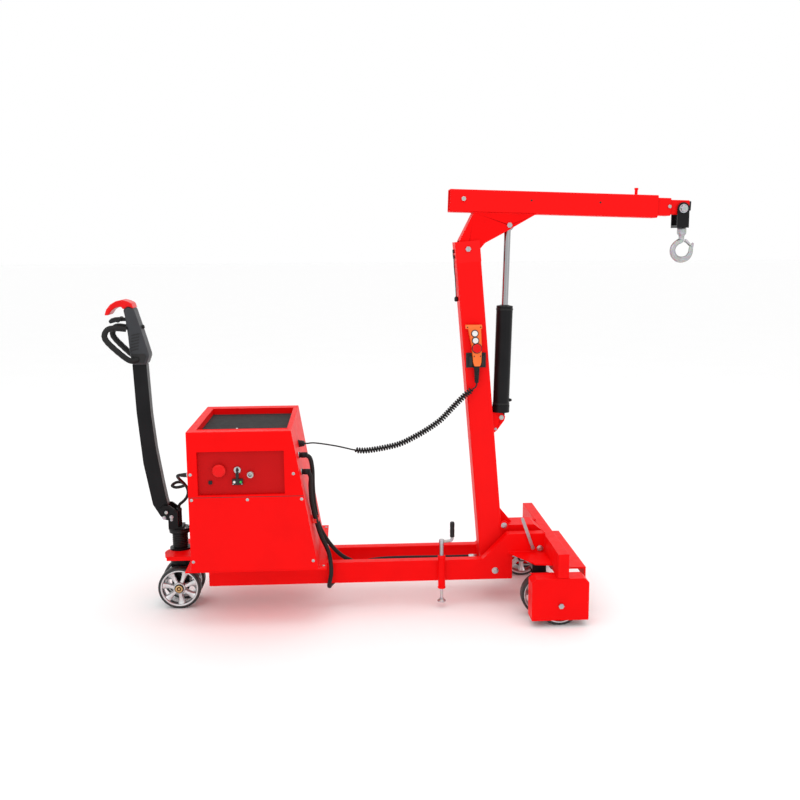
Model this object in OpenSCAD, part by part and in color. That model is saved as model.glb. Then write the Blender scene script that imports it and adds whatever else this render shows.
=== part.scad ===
// Counterbalanced floor crane: battery box, leaning mast, ram-lifted telescopic boom,
// steered drive unit with tiller. Millimetres, +Z up, +X towards the hook.

/* [Overall] */
// Length of the front crossbeam (overall width)
overall_width = 880; // [800:20:960]
// Distance from the steering axis to the front crossbeam
frame_length = 1736; // [1700:10:1900]
// Mast length from the rail top to the boom pivot
mast_length = 1461; // [1380:10:1560]
// Lean of the mast towards the box, degrees
mast_lean = 4.8; // [4:0.2:5.6]
// Thickness of the chassis rail tube
rail_wall = 4; // [3:1:6]

/* [Boom] */
// Length of the outer boom tube
boom_length = 966; // [900:10:1040]
// Height of the outer boom tube
boom_height = 103; // [99:1:106]
// Wall of the boom tubes
boom_wall = 5; // [3:0.5:5.5]
// Droop of the boom below level, degrees
boom_droop = 1.9; // [0:0.1:3]

/* [Ram] */
// Barrel diameter
barrel_d = 77; // [70:1:78]
// Rod diameter
rod_d = 30; // [24:1:34]
// Barrel length
barrel_length = 468; // [430:2:480]

/* [Box] */
// Top of the box above the floor
box_top = 900; // [880:10:1000]
// Width of the box
box_width = 682; // [640:2:720]
// Sheet thickness of the covers
sheet = 3; // [2:0.5:4]

/* [Wheels] */
// Wheel diameter
wheel_d = 200; // [190:2:200]
// Wheel width
wheel_w = 50; // [40:1:50]
// Spokes in each wheel
spokes = 7; // [5:1:9]

/* [Hook] */
// Mean radius of the hook bow
hook_r = 44.5; // [40:0.5:46]
// Thickness of the hook bow
hook_t = 25; // [20:1:26]

/* [Hidden] */
$fn = 48;
e = 0.5; // overshoot of a cut
gap = 0.3; // gap between pieces that move past each other
run = 0.05; // radial running clearance of a pin
x_mid = 1081.4; // steering axis to the middle of the whole length
c_red = [0.92, 0.05, 0.05];
c_black = [0.08, 0.08, 0.08];
c_grey = [0.3, 0.3, 0.32];
c_steel = [0.75, 0.75, 0.77];
c_alu = [0.82, 0.83, 0.85];
c_orange = [0.95, 0.42, 0.05];
c_white = [0.92, 0.92, 0.92];

// chassis
rail_top = 225;
rail_low = 125;
rail_in = 90; // inner face of each rail
rail_out = 140; // outer face of each rail
rail_back = 150;
neck_top = 346;
neck_low = 240;
beam_d = 50;
beam_low = 226;
beam_top = 338;
beam_wall = 4;
fx = frame_length;
neck_rise = fx - 296; // start of the slope
neck_flat = fx - 177; // end of the slope
neck_foot = fx - 154; // end of the low tube
half_w = overall_width / 2;
rail_outline = [
    [rail_back, rail_low], [rail_back, rail_top], [neck_rise, rail_top], [neck_flat, neck_top],
    [fx, neck_top], [fx, neck_low], [neck_foot, neck_low], [neck_foot, rail_low]
];
rail_hollow = [
    [rail_back - e, rail_low + rail_wall], [rail_back - e, rail_top - rail_wall],
    [neck_rise + rail_wall * 0.4, rail_top - rail_wall],
    [neck_flat + rail_wall * 0.4, neck_top - rail_wall], [fx + e, neck_top - rail_wall],
    [fx + e, neck_low + rail_wall], [neck_foot - rail_wall, neck_low + rail_wall],
    [neck_foot - rail_wall, rail_low + rail_wall]
];

// rear plate and steering
plate_low = 254;
plate_top = 274;
plate_back = -43;
plate_front = 230;
neck_r = 50; // steering neck
ring_r = 75;
ring_low = 234;
axle_z = 100;
axle_r = 14;
bolt_r = 10;
rear_y = 65; // centre of each rear wheel
wheel_r = wheel_d / 2;
rim_t = 8;

// front wheels
box_in = half_w - 90; // inner face of a wheel box
box_back = fx - 116;
box_front = fx + 142;
box_low = 31;
box_wall = 5;
chamfer = 20;
front_axle_x = fx + 16;
fixed_y = half_w - 45;
fork_axle_x = fx - 37;
fork_y = half_w - 165;
fork_stem_x = fx - 64;
fork_leg_in = 31;
fork_leg_t = 6;
fork_crown = 226;
gusset_low = 250;
gusset_top = 258;
shelf_w = half_w - 153;
shelf_front = fx + 163;
shelf_t = 8;
lip_low = 176;
shelf_low = beam_low - shelf_t;
gusset_outline = [
    [fx - 174, rail_out], [fx - 104, half_w - 178], [fx - 81, half_w - 125],
    [fx, half_w - 110], [fx, rail_out]
];

// mast
mast_x = fx - 240.3;
mast_w = 115;
mast_y = 60; // half width across
mast_wall = 6;
mast_top = mast_length + 36;
mast_foot = -75;
mast_slot = mast_length - 61; // the front wall ends here
sl = sin(mast_lean);
cl = cos(mast_lean);
function mast_pt(s, t) = [mast_x - s * sl + t * cl, rail_top + s * cl + t * sl];
function mast_at_z(z, t) = mast_x + (t - (z - rail_top) * sl) / cl;
pivot = mast_pt(mast_length, 0.6);
pivot_r = 11;
tie_top = 367;
tie_t = 6;
tie_slope = 36;
tie_outline = [
    [mast_at_z(neck_low, mast_w / 2), neck_low], [mast_at_z(tie_top, mast_w / 2), tie_top],
    [fx - tie_slope, tie_top], [fx, beam_top], [fx, neck_low]
];
tie_hollow = [
    [mast_x, neck_low - e], [mast_x, tie_top - tie_t], [fx - tie_slope - 2, tie_top - tie_t],
    [fx + e, beam_top - tie_t - 2], [fx + e, neck_low - e]
];
web_outline = [
    [mast_at_z(tie_top, mast_w / 2), tie_top], [mast_at_z(tie_top + 78, mast_w / 2), tie_top + 78],
    [mast_at_z(tie_top, mast_w / 2) + 58, tie_top]
];
lug_x = mast_at_z(tie_top, mast_w / 2) + 11;
lug_r = 22;
lug_t = 8;

// boom, in its own axes from the lower rear corner of the outer tube
boom_x = pivot[0] - 84;
boom_z = pivot[1] + 169;
boom_y = 50;
second_h = boom_height - 22;
second_y = 41;
tip_h = boom_height - 37;
tip_y = 33;
second_back = 420;
second_front = boom_length + 63;
tip_back = 640;
tip_front = boom_length + 152;
stage_wall = boom_wall - 1;
pad_len = 80;
plug_len = 13;
plug_h = 44;
mid_v = boom_height / 2;
lock_u = boom_length - 93;
lock_r = 7;
lock_high = 32;
function under_boom(x) = boom_z - (x - boom_x) * tan(boom_droop);
px = pivot[0];
pz = pivot[1];
knee_y = 40;
knee_t = 10;
knee_outline = [
    [px + 27, under_boom(px + 27)], [px - 38, pz + 39], [px - 46, pz + 8], [px - 36, pz - 27],
    [px - 10, pz - 44], [px + 22, pz - 39], [px + 44, pz - 14], [px + 54, pz - 3],
    [px + 80, pz + 27], [px + 181, pz + 80], [px + 202, pz + 93], [px + 315, under_boom(px + 315)]
];
knee_web = [
    [px + 27, under_boom(px + 27)], [px - 38, pz + 39], [px - 30, pz + 36], [px + 35, under_boom(px + 35)]
];

// ram
ram_top = [px + 192, pz + 107];
ram_base = mast_pt(656.9, 100.6);
ram_vec = ram_top - ram_base;
ram_len = norm(ram_vec);
ram_tilt = atan2(ram_vec[0], ram_vec[1]);
ram_pin_r = 10;
ram_top_r = 8;
eye_bore = 17;
eye_r = 26;
eye_y = 17;
cap_r = 41;
cap_low = 23;
barrel_low = 58;
barrel_high = barrel_low + barrel_length;
barrel_t = 5;
gland_t = 26;
piston_t = 25;
piston_gap = 34.7; // from the piston to the gland at rest
piston_low = barrel_high - gland_t - piston_t - piston_gap;
bracket_y = eye_y + gap;
bracket_t = 8;
bracket_outline = [
    mast_pt(684.3, mast_w / 2), [ram_base[0] + 6, ram_base[1] + 20], [ram_base[0] + 19, ram_base[1] + 4],
    [ram_base[0] + 14, ram_base[1] - 16], [ram_base[0] - 21, ram_base[1] - 64], mast_pt(584, mast_w / 2)
];

// box
box_y = box_width / 2;
box_rear = 103;
box_slope = 0.1695;
seam_z = 607;
base_z = 262;
base_t = 6;
base_rear = 75;
function box_x(z) = 561 + (box_top - z) * box_slope;
cover_low = base_z + base_t;
base_front = box_x(cover_low) + 34.9;
tray = [140, box_x(box_top) - 20]; // tray ends
tray_y = box_y - 66;
tray_floor = box_top - 32;
mat_t = 4;
panel_x0 = 146;
panel_x1 = 527;
panel_z0 = 616;
panel_z1 = 812;
panel_y = box_y - 21; // depth of the control recess
notch = rail_out + 1;

// tiller
tilt_x = -52;
tilt_z = 462;
tilt_r = 8;
flange_low = 355;
flange_top = 377;
flange_r = 50;
motor_r = 33;
yoke_y = 34;
yoke_t = 8;
yoke_base = 387;
arm_y = 28;
yoke_outline = [
    [-46, 377], [-46, 422], [-68, 428], [-82, 452], [-83, 476], [-64, 494], [-36, 492], [-14, 474], [0, 462], [0, 377]
];
arm_outline = [
    [-179, 1164], [-171, 938], [-152, 697], [-117, 497], [-84, 440], [-72, 428], [-52, 427], [-38, 440],
    [-38, 460], [-52, 520], [-66, 603], [-90, 764], [-105, 927], [-115, 1164]
];
arm_hollow = [
    [-173, 1200], [-165, 938], [-146, 697], [-112, 510], [-86, 500], [-60, 520], [-72, 603],
    [-96, 764], [-111, 927], [-121, 1200]
];
head_y = 45;
head_outline = [
    [-179, 1164], [-113, 1164], [-97, 1205], [-134, 1342], [-158, 1424], [-182, 1434], [-206, 1420],
    [-200, 1390], [-192, 1300], [-186, 1230]
];
cap_y = 48;
cap_outline = [
    [-182, 1434], [-158, 1424], [-166, 1448], [-186, 1458], [-208, 1464], [-236, 1458], [-262, 1443],
    [-281, 1420], [-290, 1394], [-272, 1394], [-256, 1416], [-238, 1428], [-212, 1432], [-206, 1420]
];
loop_r = 13;
loop_route = [
    [-150, 45, 1190], [-182, 66, 1188], [-240, 76, 1238], [-282, 78, 1286], [-282, 76, 1318],
    [-258, 66, 1336], [-196, 45, 1330]
];
throttle_x = -232;
throttle_z = 1372;
throttle_outline = [[-240, 1380], [-226, 1380], [-226, 1364], [-244, 1362], [-270, 1356], [-275, 1368], [-262, 1380]];

// hook
clevis_u = boom_length + 122.07; // clevis bolt along the boom
clevis_v = 46.1;
clevis_x = boom_x + clevis_u * cos(boom_droop) + clevis_v * sin(boom_droop);
clevis_z = boom_z - clevis_u * sin(boom_droop) + clevis_v * cos(boom_droop);
hook_x = clevis_x + 10;
clevis_half = 28;
clevis_low = clevis_z - 88;
clevis_high = clevis_z + 20;
clevis_y = 37;
clevis_t = 8;
bridge_t = 12;
shank_r = 10;
swivel_r = 21;
swivel_low = clevis_low - 32;
neck_low_z = swivel_low - 28;
bow_z = neck_low_z - hook_r + 1;
bow_x = hook_x + 4;
bow_from = 95;
bow_to = 372;
tip_h0 = 29; // length of the flared hook tip
tip_lean = 21.4;
latch_x = hook_x + 18;
latch_z = neck_low_z + 2;
latch_y = 15;

// pendant and panel fittings
pendant_x = mast_at_z(1230, 0) - 7.3;
pend_y0 = 66;
pend_y1 = 98;
button_r = 13;
stop_r = 20;
button_out = 6;
button_in = 4;
button_bore = 10;
pendant_outline = [
    [-43, 1317], [-43, 1335], [32, 1335], [32, 1317], [27, 1317], [31, 1230], [30, 1162], [24, 1143],
    [-2, 1143], [-9, 1162], [-13, 1230], [-32, 1317]
];
up_pos = [-2, 1296];
down_pos = [1, 1263];
stop_pos = [8, 1227];
estop = [241, 726];
estop_r = 29;
key_pos = [320, 726];
socket = [377, 705];
lamps = [[306, 673], [334, 673]];

// jack and lever
jack_x = fx - 494;
jack_y = -160;
jack_tube_r = 17;
jack_shaft_r = 10;
jack_screw_r = 7;
jack_foot_r = 20;
lever_x = fx - 58;
lever_z = 278;
lever_len = 149;
lever_turn = -19.7;
lever_w = 15;
lever_t = 6;

// routes of the cords and hoses
hose_r = 10;
hose_a_x = box_x(761) + 16;
hose_b_x = box_x(690) + 16;
mast_back = mast_at_z(185, -mast_w / 2);
bulk_z = 185;
bulk_y = 24;
bulk_len = 24;
hose_a_route = [
    [hose_a_x, -200, 761], [hose_a_x + 7, -200, 761], [hose_a_x + 14, -200, 761], [636, -198, 745], [645, -188, 690], [645, -160, 600],
    [650, -120, 500], [672, -80, 380], [730, -40, 270], [800, -24, 205], [900, -24, 185],
    [mast_back - 120, -24, bulk_z], [mast_back - bulk_len, -24, bulk_z]
];
hose_b_route = [
    [hose_b_x, -230, 690], [hose_b_x + 6, -230, 690], [hose_b_x + 12, -230, 690], [638, -226, 665], [636, -215, 610], [642, -195, 520],
    [675, -176, 380], [704, -170, 310], [717, -168, 262],
    [722, -166, 190], [712, -163, 132], [712, -130, 108],
    [722, -85, 105], [760, -40, 120], [850, 0, 160], [960, 24, 185],
    [mast_back - 120, 24, bulk_z], [mast_back - bulk_len, 24, bulk_z]
];
cable_r = 7;
cable_route = [
    [66, -280, 697], [62, -280, 697], [58, -280, 697], [47, -264, 688], [45, -205, 660], [45, -135, 630],
    [45, -75, 602], [24, -34, 584], [-8, -18, 576], [-28, 2, 580], [-12, 22, 590], [16, 24, 588],
    [38, 14, 568], [45, 4, 544], [38, 0, 522], [22, 0, 503], [6, 0, 490], [0, 0, 480],
    [0, 0, 475 + gap / 2], [0, 0, 470 + gap]
];
lead_r = 5;
coil_r = 15;
cord_y = -82;
cord_x = box_x(790) + 30;
cord_route = [
    [cord_x, cord_y, 790, lead_r], [cord_x + 6, cord_y, 790, lead_r], [cord_x + 12, cord_y, 790, lead_r],
    [646, cord_y, 792, lead_r], [689, cord_y, 787, lead_r],
    [760, cord_y, 774, lead_r], [824, cord_y, 758, lead_r], [839, cord_y, 754, coil_r],
    [893, cord_y, 751, coil_r], [963, cord_y, 760, coil_r], [1046, cord_y, 778, coil_r],
    [1108, cord_y, 805, coil_r], [1180, cord_y, 845, coil_r], [1244, cord_y, 890, coil_r],
    [1290, cord_y, 937, coil_r], [1330, cord_y, 978, coil_r], [1366, cord_y, 1012, coil_r], [1390, cord_y, 1028, lead_r],
    [pendant_x + 4, cord_y, 1041, lead_r], [pendant_x + 10, cord_y, 1052, lead_r],
    [pendant_x + 10, cord_y, 1058, lead_r], [pendant_x + 10, cord_y, 1063, lead_r]
];

// Sub-part to draw

// ---- helpers
module at(x, y, z) translate([x - x_mid, y, z]) children();
module both() {
    children();
    mirror([0, 1, 0]) children();
}
module block(x0, x1, y0, y1, z0, z1) at(x0, y0, z0) cube([x1 - x0, y1 - y0, z1 - z0]);
module slab(pts, y0, y1) at(0, y1, 0) rotate([90, 0, 0]) linear_extrude(height = y1 - y0) polygon(pts);
module rod_y(x, z, r, y0, y1) at(x, y1, z) rotate([90, 0, 0]) cylinder(r = r, h = y1 - y0);
module hex_y(x, z, r, y0, y1) at(x, y1, z) rotate([90, 0, 0]) cylinder(r = r, h = y1 - y0, $fn = 6);
module post(x, y, r, z0, z1) at(x, y, z0) cylinder(r = r, h = z1 - z0);
module in_mast() at(mast_x, 0, rail_top) rotate([0, -mast_lean, 0]) children();
module in_boom() at(boom_x, 0, boom_z) rotate([0, boom_droop, 0]) children();
module in_ram() at(ram_base[0], 0, ram_base[1]) rotate([0, ram_tilt, 0]) children();
module tube_u(u0, u1, w, h, t, v) {
    difference() {
        translate([u0, -w, v - h / 2]) cube([u1 - u0, 2 * w, h]);
        translate([u0 - e, -w + t, v - h / 2 + t]) cube([u1 - u0 + 2 * e, 2 * (w - t), h - 2 * t]);
    }
}
module rod_v(u, v, r, y0, y1) translate([u, y1, v]) rotate([90, 0, 0]) cylinder(r = r, h = y1 - y0);
module hex_v(u, v, r, y0, y1) translate([u, y1, v]) rotate([90, 0, 0]) cylinder(r = r, h = y1 - y0, $fn = 6);
module pads(u0, u1, w, h, t, inner_w, inner_h, v) {
    for (side = [-1, 1]) {
        translate([u0, -inner_w / 2, side > 0 ? v + inner_h / 2 + gap : v - h / 2 + t])
            cube([u1 - u0, inner_w, h / 2 - t - inner_h / 2 - gap]);
        translate([u0, side > 0 ? inner_w + gap : -w + t, v - inner_h / 4])
            cube([u1 - u0, w - t - inner_w - gap, inner_h / 2]);
    }
}

// ---- swept tubes for cords and hoses
steps = 5;
sides = 10;
function unit(v) = v / norm(v);
function pick(p, i) = p[max(0, min(len(p) - 1, i))];
function bend(p, i, s) = 0.5 * (2 * pick(p, i) + (pick(p, i + 1) - pick(p, i - 1)) * s
    + (2 * pick(p, i - 1) - 5 * pick(p, i) + 4 * pick(p, i + 1) - pick(p, i + 2)) * s * s
    + (3 * pick(p, i) - pick(p, i - 1) - 3 * pick(p, i + 1) + pick(p, i + 2)) * s * s * s);
function smooth(p) = concat([for (i = [0:len(p) - 2]) for (j = [0:steps - 1]) bend(p, i, j / steps)],
    [p[len(p) - 1]]);
function heading(q, i) = unit(pick(q, i + 1) - pick(q, i - 1));
function start_side(t) = unit(cross(t, abs(t[1]) < 0.9 ? [0, 1, 0] : [1, 0, 0]));
function carry(n, t) = unit(n - (n * t) * t);
module sweep(route, r) {
    q = smooth([for (p = route) [p[0] - x_mid, p[1], p[2]]]);
    radii = len(route[0]) > 3 ? smooth([for (p = route) p[3]]) : [for (p = q) r];
    last = len(q) - 1;
    n = [for (i = 0, s = start_side(heading(q, 0)); i <= last;
        i = i + 1, s = carry(s, heading(q, min(i, last)))) s];
    points = [for (i = [0:last]) for (j = [0:sides - 1])
        q[i] + radii[i] * (cos(360 * j / sides) * n[i] + sin(360 * j / sides) * cross(heading(q, i), n[i]))];
    walls = [for (i = [0:last - 1]) for (j = [0:sides - 1])
        [i * sides + j, (i + 1) * sides + j, (i + 1) * sides + (j + 1) % sides, i * sides + (j + 1) % sides]];
    first_end = [for (j = [0:sides - 1]) j];
    last_end = [for (j = [sides - 1:-1:0]) last * sides + j];
    polyhedron(points = points, faces = concat([first_end], walls, [last_end]), convexity = 8);
}

// ---- chassis
module rails() {
    color(c_red) both() difference() {
        slab(rail_outline, rail_in, rail_out);
        slab(rail_hollow, rail_in + rail_wall, rail_out - rail_wall);
    }
}
module rear_plate() {
    color(c_red) {
        difference() {
            block(plate_back, plate_front, -rail_out, rail_out, plate_low, plate_top);
            post(0, 0, neck_r + 5, plate_low - e, plate_top + e);
        }
        both() block(rail_back, plate_front, rail_in, rail_out, rail_top, plate_low);
        difference() {
            post(0, 0, ring_r, ring_low, plate_low);
            post(0, 0, neck_r + run, ring_low - e, plate_low + e);
        }
    }
}
saddle_x = [330, 590];
saddle_w = 50;
saddle_y = rail_out;
foot_low = 140;
foot_outline = [
    [mast_at_z(foot_low, -mast_w / 2), foot_low], [mast_at_z(rail_top - 5, -mast_w / 2), rail_top - 5],
    [mast_at_z(rail_top - 5, mast_w / 2), rail_top - 5], [mast_at_z(foot_low, mast_w / 2), foot_low]
];
module cross_members() {
    color(c_red) {
        for (x = saddle_x) difference() {
            block(x, x + saddle_w, -saddle_y, saddle_y, rail_top, base_z);
            block(x + sheet, x + saddle_w - sheet, -saddle_y + sheet, saddle_y - sheet, rail_top - e, base_z - sheet);
        }
        both() slab(foot_outline, mast_y, rail_in);
    }
}
module crossbeam() {
    color(c_red) difference() {
        block(fx, fx + beam_d, -half_w, half_w, beam_low, beam_top);
        block(fx + beam_wall, fx + beam_d - beam_wall, -half_w + beam_wall, half_w - beam_wall,
            beam_low + beam_wall, beam_top - beam_wall);
    }
}
function wheel_box_outline(t) = [
    [box_back + t, box_low - (t > 0 ? e : 0)], [box_back + t, beam_low - chamfer - t * 0.4],
    [box_back + chamfer + t * 0.4, beam_low - t], [box_front - chamfer - t * 0.4, beam_low - t],
    [box_front - t, beam_low - chamfer - t * 0.4], [box_front - t, box_low - (t > 0 ? e : 0)]
];
module wheel_boxes() {
    color(c_red) both() difference() {
        slab(wheel_box_outline(0), box_in, half_w);
        slab(wheel_box_outline(box_wall), box_in + box_wall, half_w - box_wall);
        rod_y(front_axle_x, axle_z, bolt_r, box_in - e, half_w + e);
    }
}
module front_plates() {
    color(c_red) {
        difference() {
            block(fx, shelf_front, -shelf_w, shelf_w, lip_low, beam_low);
            block(fx - e, shelf_front - shelf_t, -shelf_w - e, shelf_w + e, lip_low - e, shelf_low);
        }
        both() at(0, 0, gusset_low) linear_extrude(height = gusset_top - gusset_low) polygon(gusset_outline);
    }
}
fork_leg = [
    [fork_stem_x - 28, fork_crown], [fork_stem_x + 36, fork_crown], [fork_axle_x + 20, axle_z + 10],
    [fork_axle_x + 14, axle_z - 16], [fork_axle_x - 14, axle_z - 16], [fork_axle_x - 24, axle_z + 10]
];
module wheel_forks() {
    color(c_black) both() {
        block(fork_stem_x - 28, fork_stem_x + 36, fork_y - fork_leg_in - fork_leg_t,
            fork_y + fork_leg_in + fork_leg_t, fork_crown, gusset_low);
        difference() {
            union() {
                slab(fork_leg, fork_y + fork_leg_in, fork_y + fork_leg_in + fork_leg_t);
                slab(fork_leg, fork_y - fork_leg_in - fork_leg_t, fork_y - fork_leg_in);
            }
            rod_y(fork_axle_x, axle_z, bolt_r, fork_y - 60, fork_y + 60);
        }
        at(fork_stem_x, fork_y, 207) cylinder(r = 15, h = fork_crown - 207, $fn = 6);
    }
}
module pins_and_axles() {
    color(c_steel) {
        both() {
            rod_y(front_axle_x, axle_z, bolt_r, box_in - 8, half_w);
            hex_y(front_axle_x, axle_z, 13, half_w, half_w + 8);
            hex_y(front_axle_x, axle_z, 13, box_in - 8, box_in);
            rod_y(fork_axle_x, axle_z, bolt_r, fork_y - 45, fork_y + 45);
            hex_y(fork_axle_x, axle_z, 13, fork_y + 37, fork_y + 45);
            hex_y(fork_axle_x, axle_z, 13, fork_y - 45, fork_y - 37);
        }
        rod_y(px, pz, pivot_r, -mast_y, mast_y);
        both() hex_y(px, pz, 13, mast_y, mast_y + 8);
        rod_y(ram_base[0], ram_base[1], ram_pin_r, -bracket_y - bracket_t, bracket_y + bracket_t);
        both() hex_y(ram_base[0], ram_base[1], 12, bracket_y + bracket_t, bracket_y + bracket_t + 7);
        rod_y(lever_x, lever_z, 5, -rail_out - 13, -rail_out);
        hex_y(lever_x, lever_z, 8, -rail_out - 13, -rail_out - 8);
    }
}
module mast_tube() {
    color(c_red) in_mast() difference() {
        translate([-mast_w / 2, -mast_y, mast_foot]) cube([mast_w, 2 * mast_y, mast_top - mast_foot]);
        translate([-mast_w / 2 + mast_wall, -mast_y + mast_wall, mast_foot - e])
            cube([mast_w - 2 * mast_wall, 2 * (mast_y - mast_wall), mast_top - mast_foot + 2 * e]);
        translate([mast_w / 2 - mast_wall - e, -mast_y + mast_wall, mast_slot])
            cube([mast_wall + 2 * e, 2 * (mast_y - mast_wall), mast_top - mast_slot + e]);
        rod_v(0.6, mast_length, pivot_r, -mast_y - e, mast_y + e);
    }
}
module mast_tie() {
    color(c_red) {
        difference() {
            slab(tie_outline, -mast_y, mast_y);
            slab(tie_hollow, -mast_y + tie_t, mast_y - tie_t);
        }
        slab(web_outline, -4, 4);
        both() rod_y(lug_x, tie_top, lug_r, mast_y, mast_y + lug_t);
    }
}
rail_bolts = [[fx - 236, 168], [fx - 22, 272]];
boom_bolt = [62, 60];
box_bolts = [[116, 711], [567, 708], [117, 596], [362, 594], [601, 592], [114, 313], [646, 306]];
module frame_bolts() {
    color(c_steel) {
        both() {
            for (b = rail_bolts) hex_y(b[0], b[1], 12, rail_out, rail_out + 8);
            hex_y(lug_x, tie_top, 11, mast_y + lug_t, mast_y + lug_t + 7);
            hex_y(ram_base[0] - 27, ram_base[1] - 56, 5, bracket_y + bracket_t, bracket_y + bracket_t + 4);
            for (b = box_bolts) rod_y(b[0], b[1], 6, box_y, box_y + 3);
        }
        for (y = [-300, 300]) post(base_front - 13, y, 6, base_z + base_t, base_z + base_t + 3);
    }
}
module ram_bracket() {
    color(c_red) both() difference() {
        slab(bracket_outline, bracket_y, bracket_y + bracket_t);
        rod_y(ram_base[0], ram_base[1], ram_pin_r, bracket_y - e, bracket_y + bracket_t + e);
    }
}

// ---- box
module box_base() {
    color(c_red) difference() {
        block(base_rear, base_front, -box_y, box_y, base_z, cover_low);
        block(base_rear - e, plate_front + 1, -notch, notch, base_z - e, cover_low + e);
    }
}
module box_shell(z0, z1) {
    difference() {
        slab([[box_rear, z0], [box_rear, z1], [box_x(z1), z1], [box_x(z0), z0]], -box_y, box_y);
        slab([[box_rear + sheet, z0 - e], [box_rear + sheet, z1 + e], [box_x(z1 + e) - sheet, z1 + e],
            [box_x(z0 - e) - sheet, z0 - e]], -box_y + sheet, box_y - sheet);
    }
}
module box_lower_cover() {
    color(c_red) difference() {
        box_shell(cover_low, seam_z);
        block(box_rear - e, plate_front + 1, -notch, notch, cover_low - e, plate_top + gap);
    }
}
module box_upper_cover() {
    color(c_red) {
        difference() {
            union() {
                box_shell(seam_z, box_top - sheet);
                slab([[box_rear, box_top - sheet], [box_rear, box_top], [box_x(box_top), box_top],
                    [box_x(box_top - sheet), box_top - sheet]], -box_y, box_y);
                block(tray[0] - sheet, tray[1] + sheet, -tray_y - sheet, tray_y + sheet,
                    tray_floor - sheet, box_top - sheet);
            }
            block(tray[0], tray[1], -tray_y, tray_y, tray_floor, box_top + e);
            block(panel_x0, panel_x1, -box_y - e, -box_y + sheet + e, panel_z0, panel_z1);
        }
        difference() {
            block(panel_x0 - sheet, panel_x1 + sheet, -box_y + sheet, -panel_y, panel_z0 - sheet, panel_z1 + sheet);
            block(panel_x0, panel_x1, -box_y - e, -panel_y + e, panel_z0, panel_z1);
        }
    }
}
module tray_mat() {
    color(c_black) block(tray[0] + 1, tray[1] - 1, -tray_y + 1, tray_y - 1, tray_floor, tray_floor + mat_t);
}
module control_panel() {
    color(c_red) difference() {
        block(panel_x0, panel_x1, -panel_y, -panel_y + sheet, panel_z0, panel_z1);
        rod_y(estop[0], estop[1], 8 + gap, -panel_y - e, -panel_y + sheet + e);
    }
    color(c_grey) {
        difference() {
            rod_y(estop[0], estop[1], 21, -panel_y - 4, -panel_y);
            rod_y(estop[0], estop[1], 8 + gap, -panel_y - 4 - e, -panel_y + e);
        }
        rod_y(key_pos[0], key_pos[1], 16, -panel_y - 8, -panel_y);
        block(297, 343, -panel_y - 12, -panel_y, 660, 686);
        for (p = lamps) rod_y(p[0], p[1], 5, -panel_y - 16, -panel_y - 12);
        difference() {
            rod_y(socket[0], socket[1], 13, -panel_y - 18, -panel_y);
            rod_y(socket[0], socket[1], 8, -panel_y - 18 - e, -panel_y - 6);
        }
        block(193, 207, -panel_y - 6, -panel_y, 664, 678);
    }
}
module ignition_key() {
    color(c_black) {
        rod_y(key_pos[0], key_pos[1], 7, -panel_y - 12, -panel_y - 8 - gap);
        block(key_pos[0] - 3, key_pos[0] + 3, -panel_y - 19, -panel_y - 11, key_pos[1] - 11, key_pos[1] + 11);
        block(key_pos[0] - 8, key_pos[0] + 8, -panel_y - 19, -panel_y - 14, key_pos[1] - 38, key_pos[1] - 10);
    }
}
module estop_button() {
    color(c_red) {
        rod_y(estop[0], estop[1], estop_r, -panel_y - 22, -panel_y - 12);
        rod_y(estop[0], estop[1], 21, -panel_y - 26, -panel_y - 22);
        rod_y(estop[0], estop[1], 8, -panel_y - 12, -panel_y + sheet);
    }
}
module counterweight() {
    color(c_grey) block(box_rear + 12, plate_front - 4, -300, 300, plate_top, 560);
}
module battery() {
    color(c_black) {
        block(250, 560, -310, -30, cover_low, 480);
        for (x = [300, 510]) post(x, -80, 9, 480, 495);
    }
}
module power_unit() {
    color(c_grey) {
        block(250, 480, 40, 300, cover_low, 420);
        post(330, 170, 55, 420, 590);
    }
}
fit_a = [761, -200];
fit_b = [690, -230];
module side_fitting(z, y) {
    post_x = box_x(z) - 2;
    at(post_x, y, z) rotate([0, 90, 0]) cylinder(r = 15, h = 8, $fn = 6);
    at(post_x + 8, y, z) rotate([0, 90, 0]) cylinder(r = 11, h = 10);
}
module fittings() {
    color(c_steel) {
        difference() {
            union() {
                side_fitting(fit_a[0], fit_a[1]);
                side_fitting(fit_b[0], fit_b[1]);
                side_fitting(790, cord_y);
                at(box_x(790) + 16, cord_y, 790) rotate([0, 90, 0]) cylinder(r = 10, h = 14);
            }
            box_shell_cut();
        }
        at(box_rear - 14, -280, 697) rotate([0, 90, 0]) cylinder(r = 15, h = 14);
        at(66, -280, 697) rotate([0, 90, 0]) cylinder(r = 11, h = box_rear - 80);
        for (side = [-1, 1]) at(mast_back - bulk_len, side * bulk_y, bulk_z) rotate([0, 90, 0])
            cylinder(r = 14, h = bulk_len - 3.9, $fn = 6);
        at(pendant_x + 10, cord_y, 1063) cylinder(r1 = 8, r2 = 13, h = 80);
    }
}
module box_shell_cut() {
    slab([[box_rear, seam_z], [box_rear, box_top], [box_x(box_top), box_top], [box_x(seam_z), seam_z]],
        -box_y, box_y);
}
module hose_a() {
    color(c_black) sweep(hose_a_route, hose_r);
}
module hose_b() {
    color(c_black) sweep(hose_b_route, hose_r);
}
module tiller_cable() {
    color(c_black) sweep(cable_route, cable_r);
}
module pendant_cord() {
    color(c_black) sweep(cord_route, lead_r);
}

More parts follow.
